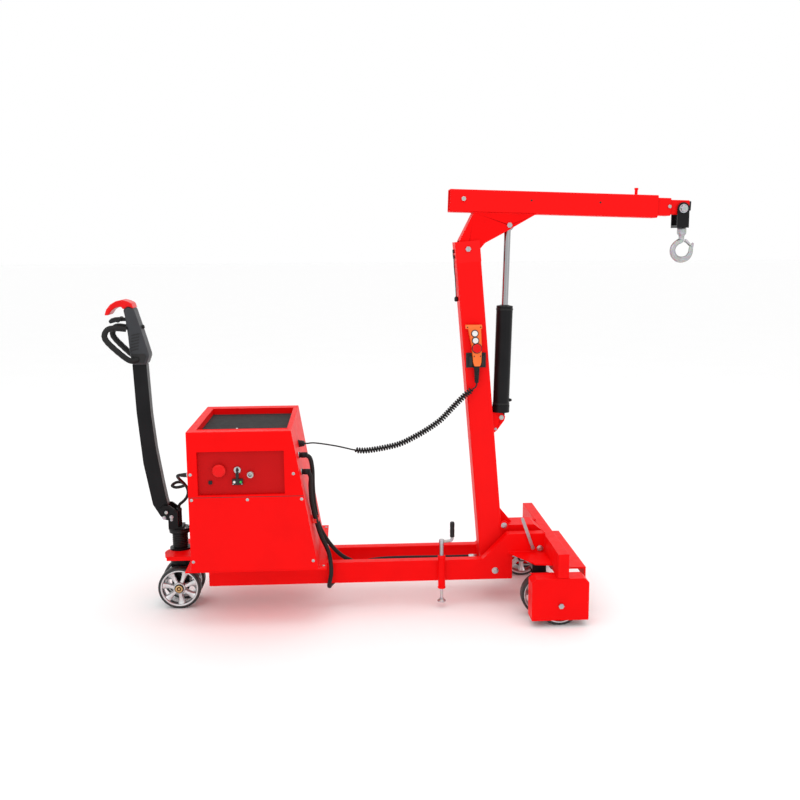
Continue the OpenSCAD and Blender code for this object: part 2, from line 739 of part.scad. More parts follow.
// ---- pendant
module pendant_holder() {
    color(c_black) {
        block(pendant_x - 38, pendant_x + 55, -pend_y0, -mast_y, 1134, 1203);
        block(pendant_x - 24, pendant_x - 12, -pend_y0 - 24, -pend_y0, 1146, 1186);
        block(pendant_x + 33, pendant_x + 45, -pend_y0 - 24, -pend_y0, 1146, 1186);
    }
}
module pendant_press(p, r, y0, y1) rod_y(pendant_x + p[0], p[1], r, y0, y1);
module pendant_body() {
    color(c_orange) difference() {
        at(pendant_x, -pend_y0, 0) rotate([90, 0, 0]) linear_extrude(height = pend_y1 - pend_y0)
            polygon(pendant_outline);
        for (p = [up_pos, down_pos]) pendant_press(p, button_r + gap, -pend_y1 - e, -pend_y1 + button_bore);
        pendant_press(stop_pos, stop_r + gap, -pend_y1 - e, -pend_y1 + button_bore);
    }
}
module pendant_up_button() {
    color(c_white) pendant_press(up_pos, button_r, -pend_y1 - button_out, -pend_y1 + button_in);
}
module pendant_down_button() {
    color(c_white) pendant_press(down_pos, button_r, -pend_y1 - button_out, -pend_y1 + button_in);
}
module pendant_stop_button() {
    color(c_red) pendant_press(stop_pos, stop_r, -pend_y1 - button_out - 4, -pend_y1 + button_in);
}

// ---- jack and lever
jack_tube_low = 96;
jack_tube_high = 255;
jack_foot_low = 31;
jack_foot_high = 48;
crank_z = 322;
crank_r = 50;
module jack_tube() {
    color(c_red) {
        difference() {
            post(jack_x, jack_y, jack_tube_r, jack_tube_low, jack_tube_high);
            post(jack_x, jack_y, jack_shaft_r + run, jack_tube_low - e, jack_tube_high + e);
        }
        difference() {
            block(jack_x - 14, jack_x + 14, jack_y + 10, -rail_out, 130, 215);
            post(jack_x, jack_y, jack_tube_r, 130 - e, 215 + e);
        }
    }
}
module jack_screw() {
    color(c_steel) {
        post(jack_x, jack_y, jack_shaft_r, 150, crank_z - 6);
        post(jack_x, jack_y, jack_screw_r, jack_foot_high, 150);
        post(jack_x, jack_y, 12, crank_z - 6, crank_z + 12);
        block(jack_x, jack_x + crank_r, jack_y - 5, jack_y + 5, crank_z - 2, crank_z + 8);
        post(jack_x + crank_r, jack_y, 8, crank_z - 2, crank_z + 12);
        post(jack_x + crank_r, jack_y, 11, crank_z + 12, crank_z + 97);
    }
}
module jack_foot() {
    color(c_steel) post(jack_x, jack_y, jack_foot_r, jack_foot_low, jack_foot_high);
}
module brake_lever() {
    color(c_steel) difference() {
        at(lever_x, -rail_out - 1, lever_z) rotate([90, lever_turn, 0]) linear_extrude(height = lever_t) union() {
            translate([-lever_w / 2, 0]) square([lever_w, lever_len]);
            circle(r = lever_w * 0.65);
            translate([0, lever_len]) circle(r = lever_w / 2);
        }
        rod_y(lever_x, lever_z, 5 + run, -rail_out - 12, -rail_out + e);
    }
}

// ---- boom
module boom_outer() {
    color(c_red) in_boom() {
        difference() {
            tube_u(0, boom_length, boom_y, boom_height, boom_wall, mid_v);
            translate([lock_u, 0, boom_height - boom_wall - e]) cylinder(r = lock_r + run, h = boom_wall + 2 * e);
            for (u = [375, 695]) rod_v(u, mid_v + 10, 4, -boom_y - e, boom_y + e);
        }
        for (side = [-1, 1]) hex_v(boom_bolt[0], boom_bolt[1], 11, side > 0 ? boom_y : -boom_y - 7,
            side > 0 ? boom_y + 7 : -boom_y);
    }
}
module boom_pads() {
    color(c_white) in_boom() pads(boom_length - pad_len, boom_length - 2, boom_y, boom_height, boom_wall,
        second_y, second_h, mid_v);
}
module boom_second() {
    color(c_red) in_boom() {
        difference() {
            tube_u(second_back, second_front, second_y, second_h, stage_wall, mid_v);
            rod_v(second_front - 9, mid_v, 5, -second_y - e, 0);
        }
        rod_v(second_front - 9, mid_v, 5, -second_y, -tip_y - gap);
        hex_v(second_front - 9, mid_v, 9, -second_y - 6, -second_y);
    }
}
module boom_tip() {
    color(c_red) in_boom() difference() {
        union() {
            tube_u(tip_back, tip_front, tip_y, tip_h, stage_wall, mid_v);
            translate([tip_front, -tip_y * 0.6, mid_v - plug_h / 2 + 8]) cube([plug_len, tip_y * 1.2, plug_h]);
            translate([tip_front - 6, -tip_y + stage_wall, mid_v - tip_h / 2 + stage_wall])
                cube([6, 2 * (tip_y - stage_wall), tip_h - 2 * stage_wall]);
        }
        rotate([0, -boom_droop, 0]) rod_v(clevis_x - boom_x, clevis_z - boom_z, bolt_r + run, -90, 90);
    }
}
module knee_plates() {
    color(c_red) {
        both() difference() {
            slab(knee_outline, knee_y, knee_y + knee_t);
            rod_y(px, pz, pivot_r + run, knee_y - e, knee_y + knee_t + e);
            rod_y(ram_top[0], ram_top[1], ram_top_r, knee_y - e, knee_y + knee_t + e);
        }
        slab(knee_web, -knee_y, knee_y);
    }
}
module ram_top_pin() {
    color(c_steel) {
        rod_y(ram_top[0], ram_top[1], ram_top_r, -knee_y - knee_t, knee_y + knee_t);
        both() hex_y(ram_top[0], ram_top[1], 13, knee_y + knee_t, knee_y + knee_t + 7);
    }
}
module lock_pin() {
    color(c_red) in_boom() {
        translate([lock_u, 0, mid_v + second_h / 2 + gap])
            cylinder(r = lock_r, h = boom_height + lock_high - mid_v - second_h / 2 - gap);
        translate([lock_u, 0, boom_height + lock_high - 8]) cylinder(r = lock_r + 2, h = 8);
    }
}

// ---- hook
module hook_clevis() {
    color(c_black) {
        both() difference() {
            union() {
                block(clevis_x - clevis_half, clevis_x + clevis_half, clevis_y, clevis_y + clevis_t,
                    clevis_low, clevis_z);
                rod_y(clevis_x, clevis_z, clevis_half, clevis_y, clevis_y + clevis_t);
            }
            rod_y(clevis_x, clevis_z, bolt_r, clevis_y - e, clevis_y + clevis_t + e);
        }
        difference() {
            block(clevis_x - clevis_half, clevis_x + clevis_half, -clevis_y, clevis_y, clevis_low,
                clevis_low + bridge_t);
            post(hook_x, 0, shank_r + run, clevis_low - e, clevis_low + bridge_t + e);
        }
    }
    color(c_steel) {
        rod_y(clevis_x, clevis_z, bolt_r, -clevis_y - clevis_t, clevis_y + clevis_t);
        both() hex_y(clevis_x, clevis_z, 16, clevis_y + clevis_t, clevis_y + clevis_t + 9);
    }
}
module lifting_hook() {
    color(c_steel) {
        post(hook_x, 0, shank_r, clevis_low - gap, clevis_low + bridge_t + 14);
        at(hook_x, 0, clevis_low + bridge_t + gap) cylinder(r = 17, h = 12, $fn = 6);
        post(hook_x, 0, swivel_r, swivel_low, clevis_low - gap);
        post(hook_x, 0, hook_t / 2 + 2, neck_low_z - 5, swivel_low);
        at(bow_x, 0, bow_z) rotate([90, 0, 0]) rotate([0, 0, bow_from]) rotate_extrude(angle = bow_to - bow_from)
            translate([hook_r, 0]) circle(r = hook_t / 2);
        at(bow_x + hook_r * cos(bow_to), 0, bow_z + hook_r * sin(bow_to)) {
            sphere(r = hook_t / 2 + 1);
            rotate([0, tip_lean, 0]) cylinder(r1 = hook_t / 2 - 1, r2 = 4, h = tip_h0);
        }
        rod_y(latch_x, latch_z, 3, -latch_y - 3, latch_y + 3);
        block(hook_x, latch_x + 5, -9, 9, latch_z - 5, latch_z + 6);
    }
}
latch_outline = [[0, -3], [16, -11], [30, -24], [26, -29], [10, -18], [-2, -6]];
module hook_latch() {
    color(c_steel) both() difference() {
        union() {
            at(latch_x, latch_y + 2, latch_z) rotate([90, 0, 0]) linear_extrude(height = 2)
                polygon(latch_outline);
            rod_y(latch_x, latch_z, 6, latch_y, latch_y + 2);
        }
        rod_y(latch_x, latch_z, 3 + run, latch_y - e, latch_y + 2 + e);
    }
}

// ---- ram
module ram_barrel() {
    color(c_black) in_ram() difference() {
        union() {
            translate([-eye_y, -eye_y, 0]) cube([2 * eye_y, 2 * eye_y, cap_low]);
            rod_v(0, 0, eye_y, -eye_y, eye_y);
            translate([0, 0, cap_low]) cylinder(r = cap_r, h = barrel_low - cap_low);
            translate([0, 0, barrel_low]) cylinder(r = barrel_d / 2, h = barrel_length);
        }
        rod_v(0, 0, ram_pin_r + run, -eye_y - e, eye_y + e);
        translate([0, 0, barrel_low]) cylinder(r = barrel_d / 2 - barrel_t, h = barrel_length - gland_t);
        translate([0, 0, barrel_high - gland_t - e]) cylinder(r = rod_d / 2 + run, h = gland_t + 2 * e);
    }
}
module ram_rod() {
    color(c_steel) in_ram() {
        difference() {
            union() {
                translate([0, 0, piston_low]) cylinder(r = barrel_d / 2 - barrel_t - run, h = piston_t);
                translate([0, 0, piston_low + piston_t])
                    cylinder(r = rod_d / 2, h = ram_len - eye_r + 4 - piston_low - piston_t);
                rod_v(0, ram_len, eye_r, -eye_y, eye_y);
            }
            rod_v(0, ram_len, eye_bore, -eye_y - e, eye_y + e);
        }
    }
}

// ---- steering unit and tiller
gear_y = 36;
module steer_unit() {
    color(c_black) {
        post(0, 0, neck_r, 205, flange_low - 75);
        post(0, 0, motor_r, flange_low - 75, flange_low);
        post(0, 0, flange_r, flange_low, flange_top);
        difference() {
            union() {
                block(-42, 42, -gear_y, gear_y, axle_z, 205);
                rod_y(0, axle_z, 42, -gear_y, gear_y);
            }
            rod_y(0, axle_z, axle_r, -gear_y - e, gear_y + e);
        }
        block(-46, 20, -yoke_y - yoke_t, yoke_y + yoke_t, flange_top, yoke_base);
        both() slab([for (p = yoke_outline) [p[0], p[1] + (p[1] < yoke_base ? 10 : 0)]],
            yoke_y, yoke_y + yoke_t);
        rod_y(tilt_x, tilt_z, tilt_r, -yoke_y, yoke_y);
        post(0, 0, 12, yoke_base, 470);
    }
    color(c_steel) {
        rod_y(0, axle_z, axle_r, -gear_y - 60, gear_y + 60);
        both() hex_y(tilt_x, tilt_z, 12, yoke_y + yoke_t, yoke_y + yoke_t + 6);
    }
}
module tiller_arm() {
    color(c_black) difference() {
        slab(arm_outline, -arm_y, arm_y);
        slab(arm_hollow, -arm_y + 4, arm_y - 4);
        rod_y(tilt_x, tilt_z, tilt_r + run, -arm_y - e, arm_y + e);
    }
}
module tiller_head() {
    color(c_grey) {
        difference() {
            slab(head_outline, -head_y, head_y);
            block(-200, -90, -head_y + 5, head_y - 5, 1175, 1330);
        }
        rod_y(throttle_x, throttle_z, 6, -32, 32);
        block(throttle_x, -196, -9, 9, throttle_z - 8, throttle_z + 8);
        at(-138, 0, 1333) rotate([0, 75, 0]) cylinder(r = 9, h = 9);
    }
}
module tiller_cap() {
    color(c_red) slab(cap_outline, -cap_y, cap_y);
}
module tiller_loops() {
    color(c_black) both() difference() {
        sweep(loop_route, loop_r);
        slab(head_outline, -head_y, head_y);
    }
}
module throttle() {
    color(c_black) both() difference() {
        union() {
            slab(throttle_outline, 12, 34);
            rod_y(throttle_x, throttle_z, 11, 12, 34);
        }
        rod_y(throttle_x, throttle_z, 6 + run, 12 - e, 34 + e);
    }
}

// ---- wheels
hub_r = 28;
module wheel(x, y, bore) {
    color(c_alu) at(x, y, axle_z) rotate([90, 0, 0]) difference() {
        union() {
            difference() {
                cylinder(r = wheel_r, h = wheel_w, center = true);
                cylinder(r = wheel_r - 2 * rim_t, h = wheel_w + 2 * e, center = true);
            }
            for (i = [0:spokes - 1]) rotate([0, 0, 360 * i / spokes]) translate([0, -6, -wheel_w * 0.3])
                cube([wheel_r - 2 * rim_t + 1, 12, wheel_w * 0.6]);
            cylinder(r = hub_r, h = wheel_w, center = true);
        }
        cylinder(r = bore + run, h = wheel_w + 2 * e, center = true);
    }
}
module rear_wheel_right() wheel(0, -rear_y, axle_r);
module rear_wheel_left() wheel(0, rear_y, axle_r);
module front_wheel_right() wheel(front_axle_x, -fixed_y, bolt_r);
module front_wheel_left() wheel(front_axle_x, fixed_y, bolt_r);
module fork_wheel_right() wheel(fork_axle_x, -fork_y, bolt_r);
module fork_wheel_left() wheel(fork_axle_x, fork_y, bolt_r);

rails();
rear_plate();
cross_members();
crossbeam();
wheel_boxes();
front_plates();
wheel_forks();
pins_and_axles();
mast_tube();
mast_tie();
frame_bolts();
ram_bracket();
box_base();
box_lower_cover();
box_upper_cover();
tray_mat();
control_panel();
ignition_key();
estop_button();
counterweight();
battery();
power_unit();
fittings();
hose_a();
hose_b();
tiller_cable();
pendant_holder();
pendant_body();
pendant_up_button();
pendant_down_button();
pendant_stop_button();
pendant_cord();
jack_tube();
jack_screw();
jack_foot();
brake_lever();
boom_outer();
knee_plates();
ram_top_pin();
lock_pin();
boom_pads();
boom_second();
boom_tip();
hook_clevis();
lifting_hook();
hook_latch();
ram_barrel();
ram_rod();
steer_unit();
tiller_arm();
tiller_head();
tiller_cap();
tiller_loops();
throttle();
rear_wheel_right();
rear_wheel_left();
front_wheel_right();
front_wheel_left();
fork_wheel_right();
fork_wheel_left();
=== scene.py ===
import math
import bpy
import bmesh
from mathutils import Matrix, Vector


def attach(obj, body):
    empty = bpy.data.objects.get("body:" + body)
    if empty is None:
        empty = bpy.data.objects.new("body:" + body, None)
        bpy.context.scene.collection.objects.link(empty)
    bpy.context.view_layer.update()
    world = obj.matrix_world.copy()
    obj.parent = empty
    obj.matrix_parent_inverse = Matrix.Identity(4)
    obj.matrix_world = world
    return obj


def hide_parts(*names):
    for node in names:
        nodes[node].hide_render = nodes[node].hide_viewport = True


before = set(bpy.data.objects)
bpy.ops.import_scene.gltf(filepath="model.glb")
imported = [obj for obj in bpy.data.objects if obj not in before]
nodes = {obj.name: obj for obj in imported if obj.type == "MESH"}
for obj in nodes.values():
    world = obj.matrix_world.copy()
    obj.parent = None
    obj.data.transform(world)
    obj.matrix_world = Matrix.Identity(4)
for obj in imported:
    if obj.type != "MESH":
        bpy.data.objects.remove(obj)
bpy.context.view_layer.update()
MID = 1081.4  # steering axis to the row's origin, mm


def W(x, y, z):
    """A point measured in mm from the steering axis, in metres in the row frame."""
    return Vector(((x - MID) / 1000, y / 1000, z / 1000))


# ---------------------------------------------------------------- camera
YAW, PITCH, ROLL = math.radians(3.15), math.radians(9.14), math.radians(-0.40)
CAM_AT = (-0.2686, -4.4816, 1.6972)  # metres in the row frame
LENS, SENSOR = 43.08, 36  # mm
fwd = Vector((math.sin(YAW) * math.cos(PITCH), math.cos(YAW) * math.cos(PITCH), -math.sin(PITCH)))
side = Vector((math.cos(YAW), -math.sin(YAW), 0))
up = side.cross(fwd)
cam_x = side * math.cos(ROLL) + up * math.sin(ROLL)
cam_y = up * math.cos(ROLL) - side * math.sin(ROLL)
cam_data = bpy.data.cameras.new("camera")
cam = bpy.data.objects.new("camera", cam_data)
bpy.context.collection.objects.link(cam)
cam.matrix_world = Matrix((
    (cam_x.x, cam_y.x, -fwd.x, CAM_AT[0]),
    (cam_x.y, cam_y.y, -fwd.y, CAM_AT[1]),
    (cam_x.z, cam_y.z, -fwd.z, CAM_AT[2]),
    (0, 0, 0, 1)))
cam_data.lens = LENS
cam_data.sensor_width = SENSOR
cam_data.clip_end = 100
bpy.context.scene.camera = cam


# ---------------------------------------------------------------- materials
WEAR_FROM, WEAR_FULL = 0.53, 0.62  # pointiness where edge wear starts and is full
WEAR_MOST = 0.5  # share of the wear colour at a worn edge
CELL_SCALE, CELL_SHARE = 160, 0.25  # spangle of galvanised metal
GRAIN_DEPTH = 0.001  # metres


def material(name, color, rough, metal=0.0, var=0.12, scale=6.0, bump=0.06, grain=400.0,
             wear=None, rvar=0.12, cells=False, spec=0.5):
    """Procedural paint, plastic or metal: colour and roughness vary, the grain is a bump, edges wear."""
    m = bpy.data.materials.new(name)
    m.use_nodes = True
    nt = m.node_tree
    n, l = nt.nodes, nt.links
    b = n["Principled BSDF"]
    b.inputs["Metallic"].default_value = metal
    b.inputs["Specular IOR Level"].default_value = spec
    tc = n.new("ShaderNodeTexCoord")
    big = n.new("ShaderNodeTexNoise")
    big.inputs["Scale"].default_value = scale
    big.inputs["Detail"].default_value = 6
    l.new(tc.outputs["Object"], big.inputs["Vector"])
    ramp = n.new("ShaderNodeValToRGB")
    ramp.color_ramp.elements[0].position = 0.3
    ramp.color_ramp.elements[1].position = 0.7
    ramp.color_ramp.elements[0].color = (*[c * (1 - var) for c in color], 1)
    ramp.color_ramp.elements[1].color = (*[min(1, c * (1 + var)) for c in color], 1)
    l.new(big.outputs["Fac"], ramp.inputs["Fac"])
    out = ramp.outputs["Color"]
    if cells:
        vor = n.new("ShaderNodeTexVoronoi")
        vor.inputs["Scale"].default_value = CELL_SCALE
        l.new(tc.outputs["Object"], vor.inputs["Vector"])
        mx = n.new("ShaderNodeMix")
        mx.data_type = "RGBA"
        mx.blend_type = "MULTIPLY"
        mx.inputs[0].default_value = CELL_SHARE
        l.new(out, mx.inputs[6])
        l.new(vor.outputs["Color"], mx.inputs[7])
        out = mx.outputs[2]
    if wear:
        geo = n.new("ShaderNodeNewGeometry")
        edge = n.new("ShaderNodeMapRange")
        edge.inputs["From Min"].default_value = WEAR_FROM
        edge.inputs["From Max"].default_value = WEAR_FULL
        edge.inputs["To Max"].default_value = WEAR_MOST
        l.new(geo.outputs["Pointiness"], edge.inputs["Value"])
        mx = n.new("ShaderNodeMix")
        mx.data_type = "RGBA"
        mx.inputs[7].default_value = (*wear, 1)
        l.new(edge.outputs["Result"], mx.inputs[0])
        l.new(out, mx.inputs[6])
        out = mx.outputs[2]
    l.new(out, b.inputs["Base Color"])
    rr = n.new("ShaderNodeMapRange")
    rr.inputs["To Min"].default_value = max(0.02, rough - rvar)
    rr.inputs["To Max"].default_value = min(1, rough + rvar)
    fine = n.new("ShaderNodeTexNoise")
    fine.inputs["Scale"].default_value = scale * 7
    fine.inputs["Detail"].default_value = 4
    l.new(tc.outputs["Object"], fine.inputs["Vector"])
    l.new(fine.outputs["Fac"], rr.inputs["Value"])
    l.new(rr.outputs["Result"], b.inputs["Roughness"])
    gr = n.new("ShaderNodeTexNoise")
    gr.inputs["Scale"].default_value = grain
    l.new(tc.outputs["Object"], gr.inputs["Vector"])
    bp = n.new("ShaderNodeBump")
    bp.inputs["Strength"].default_value = bump
    bp.inputs["Distance"].default_value = GRAIN_DEPTH
    l.new(gr.outputs["Fac"], bp.inputs["Height"])
    l.new(bp.outputs["Normal"], b.inputs["Normal"])
    return m


RED = material("red_paint", (0.86, 0.0015, 0.002), 0.42, var=0.04, wear=(0.9, 0.015, 0.015), grain=220,
               spec=0.07)
# painted shade: the control panel's recess gets a darker red than the other paint, standing for the shade
# that falls in the recess
RECESS_SHADE_RED = material("recess_red_paint", (0.42, 0.001, 0.003), 0.45, var=0.1, wear=(0.6, 0.01, 0.01), grain=220,
                spec=0.07)
REDP = material("red_plastic", (0.74, 0.004, 0.005), 0.3, spec=0.16, var=0.06, wear=(0.9, 0.1, 0.08),
                rvar=0.08)
BLACK = material("black_paint", (0.007, 0.007, 0.008), 0.34, var=0.3, wear=(0.04, 0.04, 0.04), spec=0.14)
PLAST = material("black_plastic", (0.009, 0.009, 0.01), 0.52, spec=0.3, var=0.3, bump=0.15, grain=900,
                 wear=(0.05, 0.05, 0.05))
RUBBER = material("black_rubber", (0.009, 0.009, 0.009), 0.62, spec=0.3, var=0.3, bump=0.12, grain=700)
MAT = material("tray_mat_rubber", (0.006, 0.006, 0.006), 0.85, var=0.4, bump=0.9, grain=350)
TYRE = material("tyre_polyurethane", (0.03, 0.03, 0.031), 0.55, spec=0.35, var=0.25, bump=0.15, grain=300)
HEAD = material("grey_plastic", (0.03, 0.032, 0.037), 0.48, spec=0.35, var=0.15, bump=0.2, grain=1200,
                wear=(0.1, 0.1, 0.11))
ZINC = material("galvanised", (0.5, 0.5, 0.51), 0.36, metal=1, var=0.14, cells=True, wear=(0.8, 0.8, 0.8))
CHROME = material("chrome_rod", (0.36, 0.36, 0.37), 0.16, metal=1, var=0.04, bump=0.01, rvar=0.05)
ALU = material("cast_alloy", (0.6, 0.6, 0.61), 0.34, metal=1, var=0.06, bump=0.08, wear=(0.95, 0.95, 0.95))
ORANGE = material("orange_plastic", (0.9, 0.15, 0.008), 0.36, var=0.06, bump=0.1, grain=900,
                  wear=(1, 0.35, 0.1))
WHITE = material("white_plastic", (0.8, 0.8, 0.78), 0.45, var=0.04, bump=0.05)
BRASS = material("brass", (0.62, 0.42, 0.2), 0.35, metal=1, var=0.1)
GREEN = material("green_lens", (0.02, 0.45, 0.06), 0.2, var=0.1, bump=0.02)
GREY = material("grey_paint", (0.2, 0.2, 0.21), 0.45, var=0.08, wear=(0.4, 0.4, 0.4))

# material of each CAD node; the nodes not listed are red
FINISH = {
    "wheel_forks": BLACK, "pins_and_axles": ZINC, "frame_bolts": ZINC, "tray_mat": MAT, "control_panel": RECESS_SHADE_RED,
    "ignition_key": PLAST, "estop_button": REDP, "counterweight": GREY, "battery": PLAST, "power_unit": GREY,
    "fittings": ZINC, "hose_a": RUBBER, "hose_b": RUBBER, "tiller_cable": RUBBER, "pendant_cord": RUBBER,
    "pendant_holder": PLAST, "pendant_body": ORANGE, "pendant_up_button": WHITE, "pendant_down_button": WHITE,
    "pendant_stop_button": REDP, "jack_foot": ZINC, "jack_screw": ZINC, "brake_lever": ZINC,
    "ram_top_pin": ZINC, "boom_pads": WHITE, "hook_clevis": BLACK, "lifting_hook": ZINC, "hook_latch": ZINC,
    "ram_barrel": BLACK, "ram_rod": CHROME, "steer_unit": BLACK, "tiller_arm": BLACK, "tiller_head": HEAD,
    "tiller_cap": REDP, "tiller_loops": RUBBER, "throttle": PLAST,
    "rear_wheel_right": ALU, "rear_wheel_left": ALU, "front_wheel_right": ALU, "front_wheel_left": ALU,
    "fork_wheel_right": ALU, "fork_wheel_left": ALU,
}
# edge rounding in mm of the CAD nodes that stay visible; the nodes not listed get ROUND_REST
ROUND = {"rails": 5, "crossbeam": 5, "box_upper_cover": 1.4, "box_lower_cover": 1.4, "tiller_arm": 8,
         "wheel_boxes": 2, "ram_barrel": 1.5}
ROUND_REST = 0.9


def soften(o, mm):
    """Rounds the sharp edges of a CAD node."""
    w = o.modifiers.new("weld", "WELD")
    w.merge_threshold = 0.00002
    b = o.modifiers.new("edge", "BEVEL")
    b.width = mm / 1000
    b.segments = 3
    b.limit_method = "ANGLE"
    b.angle_limit = math.radians(32)
    b.use_clamp_overlap = True
    b.harden_normals = False
    n = o.modifiers.new("normals", "WEIGHTED_NORMAL")
    n.weight = 100


for name, o in nodes.items():
    o.data.materials.clear()
    o.data.materials.append(FINISH.get(name, RED))


# ---------------------------------------------------------------- mesh building
class Build:
    """Collects the points (metres in the row frame) and faces of one piece."""

    def __init__(self):
        self.v, self.f = [], []

    def rings(self, rings, loop=False):
        """Skins rings of points; the ends are capped, or joined to each other with loop."""
        base, m = len(self.v), len(rings[0])
        for r in rings:
            self.v += [tuple(p) for p in r]
        k = len(rings)
        for i in range(k if loop else k - 1):
            a, b = base + i * m, base + ((i + 1) % k) * m
            for j in range(m):
                self.f.append([a + j, a + (j + 1) % m, b + (j + 1) % m, b + j])
        if not loop:
            self.f.append([base + j for j in reversed(range(m))])
            self.f.append([base + (k - 1) * m + j for j in range(m)])
        return self

    def lathe(self, prof, at, axis, n=40, loop=False):
        """prof is (radius, height along axis) in mm."""
        a = Vector(axis).normalized()
        u = a.orthogonal().normalized()
        w = a.cross(u)
        rings = []
        for r, h in prof:
            r = max(r, 0.05)  # a point on the axis would give faces without area
            rings.append([at + a * (h / 1000) + (u * math.cos(t) + w * math.sin(t)) * (r / 1000)
                          for t in [2 * math.pi * j / n for j in range(n)]])
        return self.rings(rings, loop)

    def tube(self, pts, rad, n=12, flat=1.0):
        """pts in the row frame; rad in mm, a number or one for each point."""
        k = len(pts)
        rad = rad if isinstance(rad, (list, tuple)) else [rad] * k
        t = [(pts[min(i + 1, k - 1)] - pts[max(i - 1, 0)]).normalized() for i in range(k)]
        s = t[0].cross(Vector((0, 1, 0)) if abs(t[0].y) < 0.9 else Vector((1, 0, 0))).normalized()
        rings = []
        for i in range(k):
            s = (s - t[i] * s.dot(t[i])).normalized()
            w = t[i].cross(s)
            rings.append([pts[i] + (s * math.cos(a) + w * (math.sin(a) * flat)) * (rad[i] / 1000)
                          for a in [2 * math.pi * j / n for j in range(n)]])
        return self.rings(rings)

    def prism(self, outline, y0, y1):
        """outline of (x, z) in mm, drawn out from y0 to y1."""
        return self.rings([[W(x, y, z) for x, z in outline] for y in (y0, y1)])

    def box(self, x0, x1, y0, y1, z0, z1):
        """A block between limits in mm."""
        return self.prism([(x0, z0), (x1, z0), (x1, z1), (x0, z1)], y0, y1)

    def hexhead(self, at, axis, r, h, washer=True):
        """A hexagon head, r mm out to its corners and h mm high, on a washer or bare."""
        dome = 1.5
        a = Vector(axis).normalized()
        u = a.orthogonal().normalized()
        w = a.cross(u)
        z = 0.0
        if washer:
            self.lathe([(r * 1.32, 0), (r * 1.32, 1.6), (r * 1.26, 2.0), (0, 2.0)], at, a, 32)
            z = 1.9
        rings = []
        for k, hh in ((1, z), (1, z + h - dome), (0.93, z + h - dome * 0.3), (0.8, z + h), (0.35, z + h),
                      (0.3, z + h - 0.4)):
            rings.append([at + a * (hh / 1000) + (u * math.cos(t) + w * math.sin(t)) * (r * k / 1000)
                          for t in [math.pi / 3 * j for j in range(6)]])
        return self.rings(rings)


def make(name, b, mat, body, bevel=0.0, seg=2, stands=(), smooth=40, flat=False):
    """Makes the piece that rides on body; bevel in mm, smooth in degrees, stands: CAD nodes it replaces."""
    me = bpy.data.meshes.new(name)
    me.from_pydata(b.v, [], b.f)
    bm = bmesh.new()
    bm.from_mesh(me)
    bmesh.ops.recalc_face_normals(bm, faces=bm.faces)
    bm.to_mesh(me)
    bm.free()
    me.polygons.foreach_set("use_smooth", [True] * len(me.polygons))
    me.set_sharp_from_angle(angle=math.radians(smooth))
    me.materials.append(mat)
    o = bpy.data.objects.new(name, me)
    bpy.context.collection.objects.link(o)
    if bevel:
        m = o.modifiers.new("edge", "BEVEL")
        m.width = bevel / 1000
        m.segments = seg
        m.limit_method = "ANGLE"
        m.angle_limit = math.radians(35)
    if flat:
        n = o.modifiers.new("normals", "WEIGHTED_NORMAL")
        n.weight = 100
        n.keep_sharp = True
    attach(o, body)
    if stands:
        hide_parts(*stands)
    return o


def spline(p, steps=8):
    """Catmull-Rom through points of any number of coordinates."""
    out = []
    q = [p[0]] + list(p) + [p[-1]]
    for i in range(1, len(q) - 2):
        for j in range(steps):
            s = j / steps
            out.append(tuple(0.5 * (2 * b + (c - a) * s + (2 * a - 5 * b + 4 * c - d) * s * s
                                    + (3 * b - a - 3 * c + d) * s ** 3)
                             for a, b, c, d in zip(q[i - 1], q[i], q[i + 1], q[i + 2])))
    return out + [tuple(p[-1])]


Y = Vector((0, 1, 0))
Z = Vector((0, 0, 1))
X = Vector((1, 0, 0))

# ---------------------------------------------------------------- shared measures, mm
MAST_X, MAST_Z = 1495.7, 225  # foot of the mast's middle line
MAST_HALF = 57.5  # half the mast's depth, front to back
BOX_TOP, BOX_TOP_X, BOX_SLOPE = 900, 561, 0.1695  # the box's front slopes forward below its top
lean = math.radians(4.8)
drop = math.radians(1.9)


def mast(s, t):
    """(x, z) of the point s mm up the mast's middle line and t mm forward of it."""
    return (MAST_X - s * math.sin(lean) + t * math.cos(lean),
            MAST_Z + s * math.cos(lean) + t * math.sin(lean))


def box_x(z):
    """The front face of the box at height z."""
    return BOX_TOP_X + (BOX_TOP - z) * BOX_SLOPE


pv = mast(1461, 0.6)  # the boom's pivot
boom_x, boom_z = pv[0] - 84, pv[1] + 169  # lower rear corner of the outer boom tube
clevis_x, clevis_z = pv[0] + 1005, pv[1] + 179  # bolt of the hook clevis
pend_x = MAST_X - (1230 - MAST_Z) * math.tan(lean) - 7.3  # middle of the pendant
boot_x, boot_z = pend_x + 10, 1063  # lower end of the pendant's boot

# ---------------------------------------------------------------- curly cord, hoses, tiller cable
cord_y, cord_z = -82, 790  # where the cord leaves the box
gland_x = box_x(cord_z) + 30
lead = spline([(gland_x, cord_y, cord_z), (gland_x + 6, cord_y, cord_z), (gland_x + 12, cord_y, cord_z),
               (646, cord_y, 792), (689, cord_y, 787), (760, cord_y, 774), (824, cord_y, 758)], 6)
coil = spline([(839, cord_y, 754), (893, cord_y, 751), (963, cord_y, 760), (1046, cord_y, 778),
               (1108, cord_y, 805), (1180, cord_y, 845), (1244, cord_y, 890), (1290, cord_y, 937),
               (1330, cord_y, 978), (1366, cord_y, 1012), (1396, cord_y, 1034)], 16)
tail = spline([(pend_x + 5, cord_y, 1043), (pend_x + 9, cord_y, 1052),
               (boot_x, cord_y, 1058), (boot_x, cord_y, boot_z)], 6)
centre = [W(*p) for p in coil]
run = [0.0]
for a, b in zip(centre, centre[1:]):
    run.append(run[-1] + (b - a).length)
COIL_PITCH, COIL_R, CORD_D = 0.0122, 0.0115, 0.007  # metres
STEPS = 14  # points on one turn of the coil
turns = round(run[-1] / COIL_PITCH)
helix = []
count = turns * STEPS
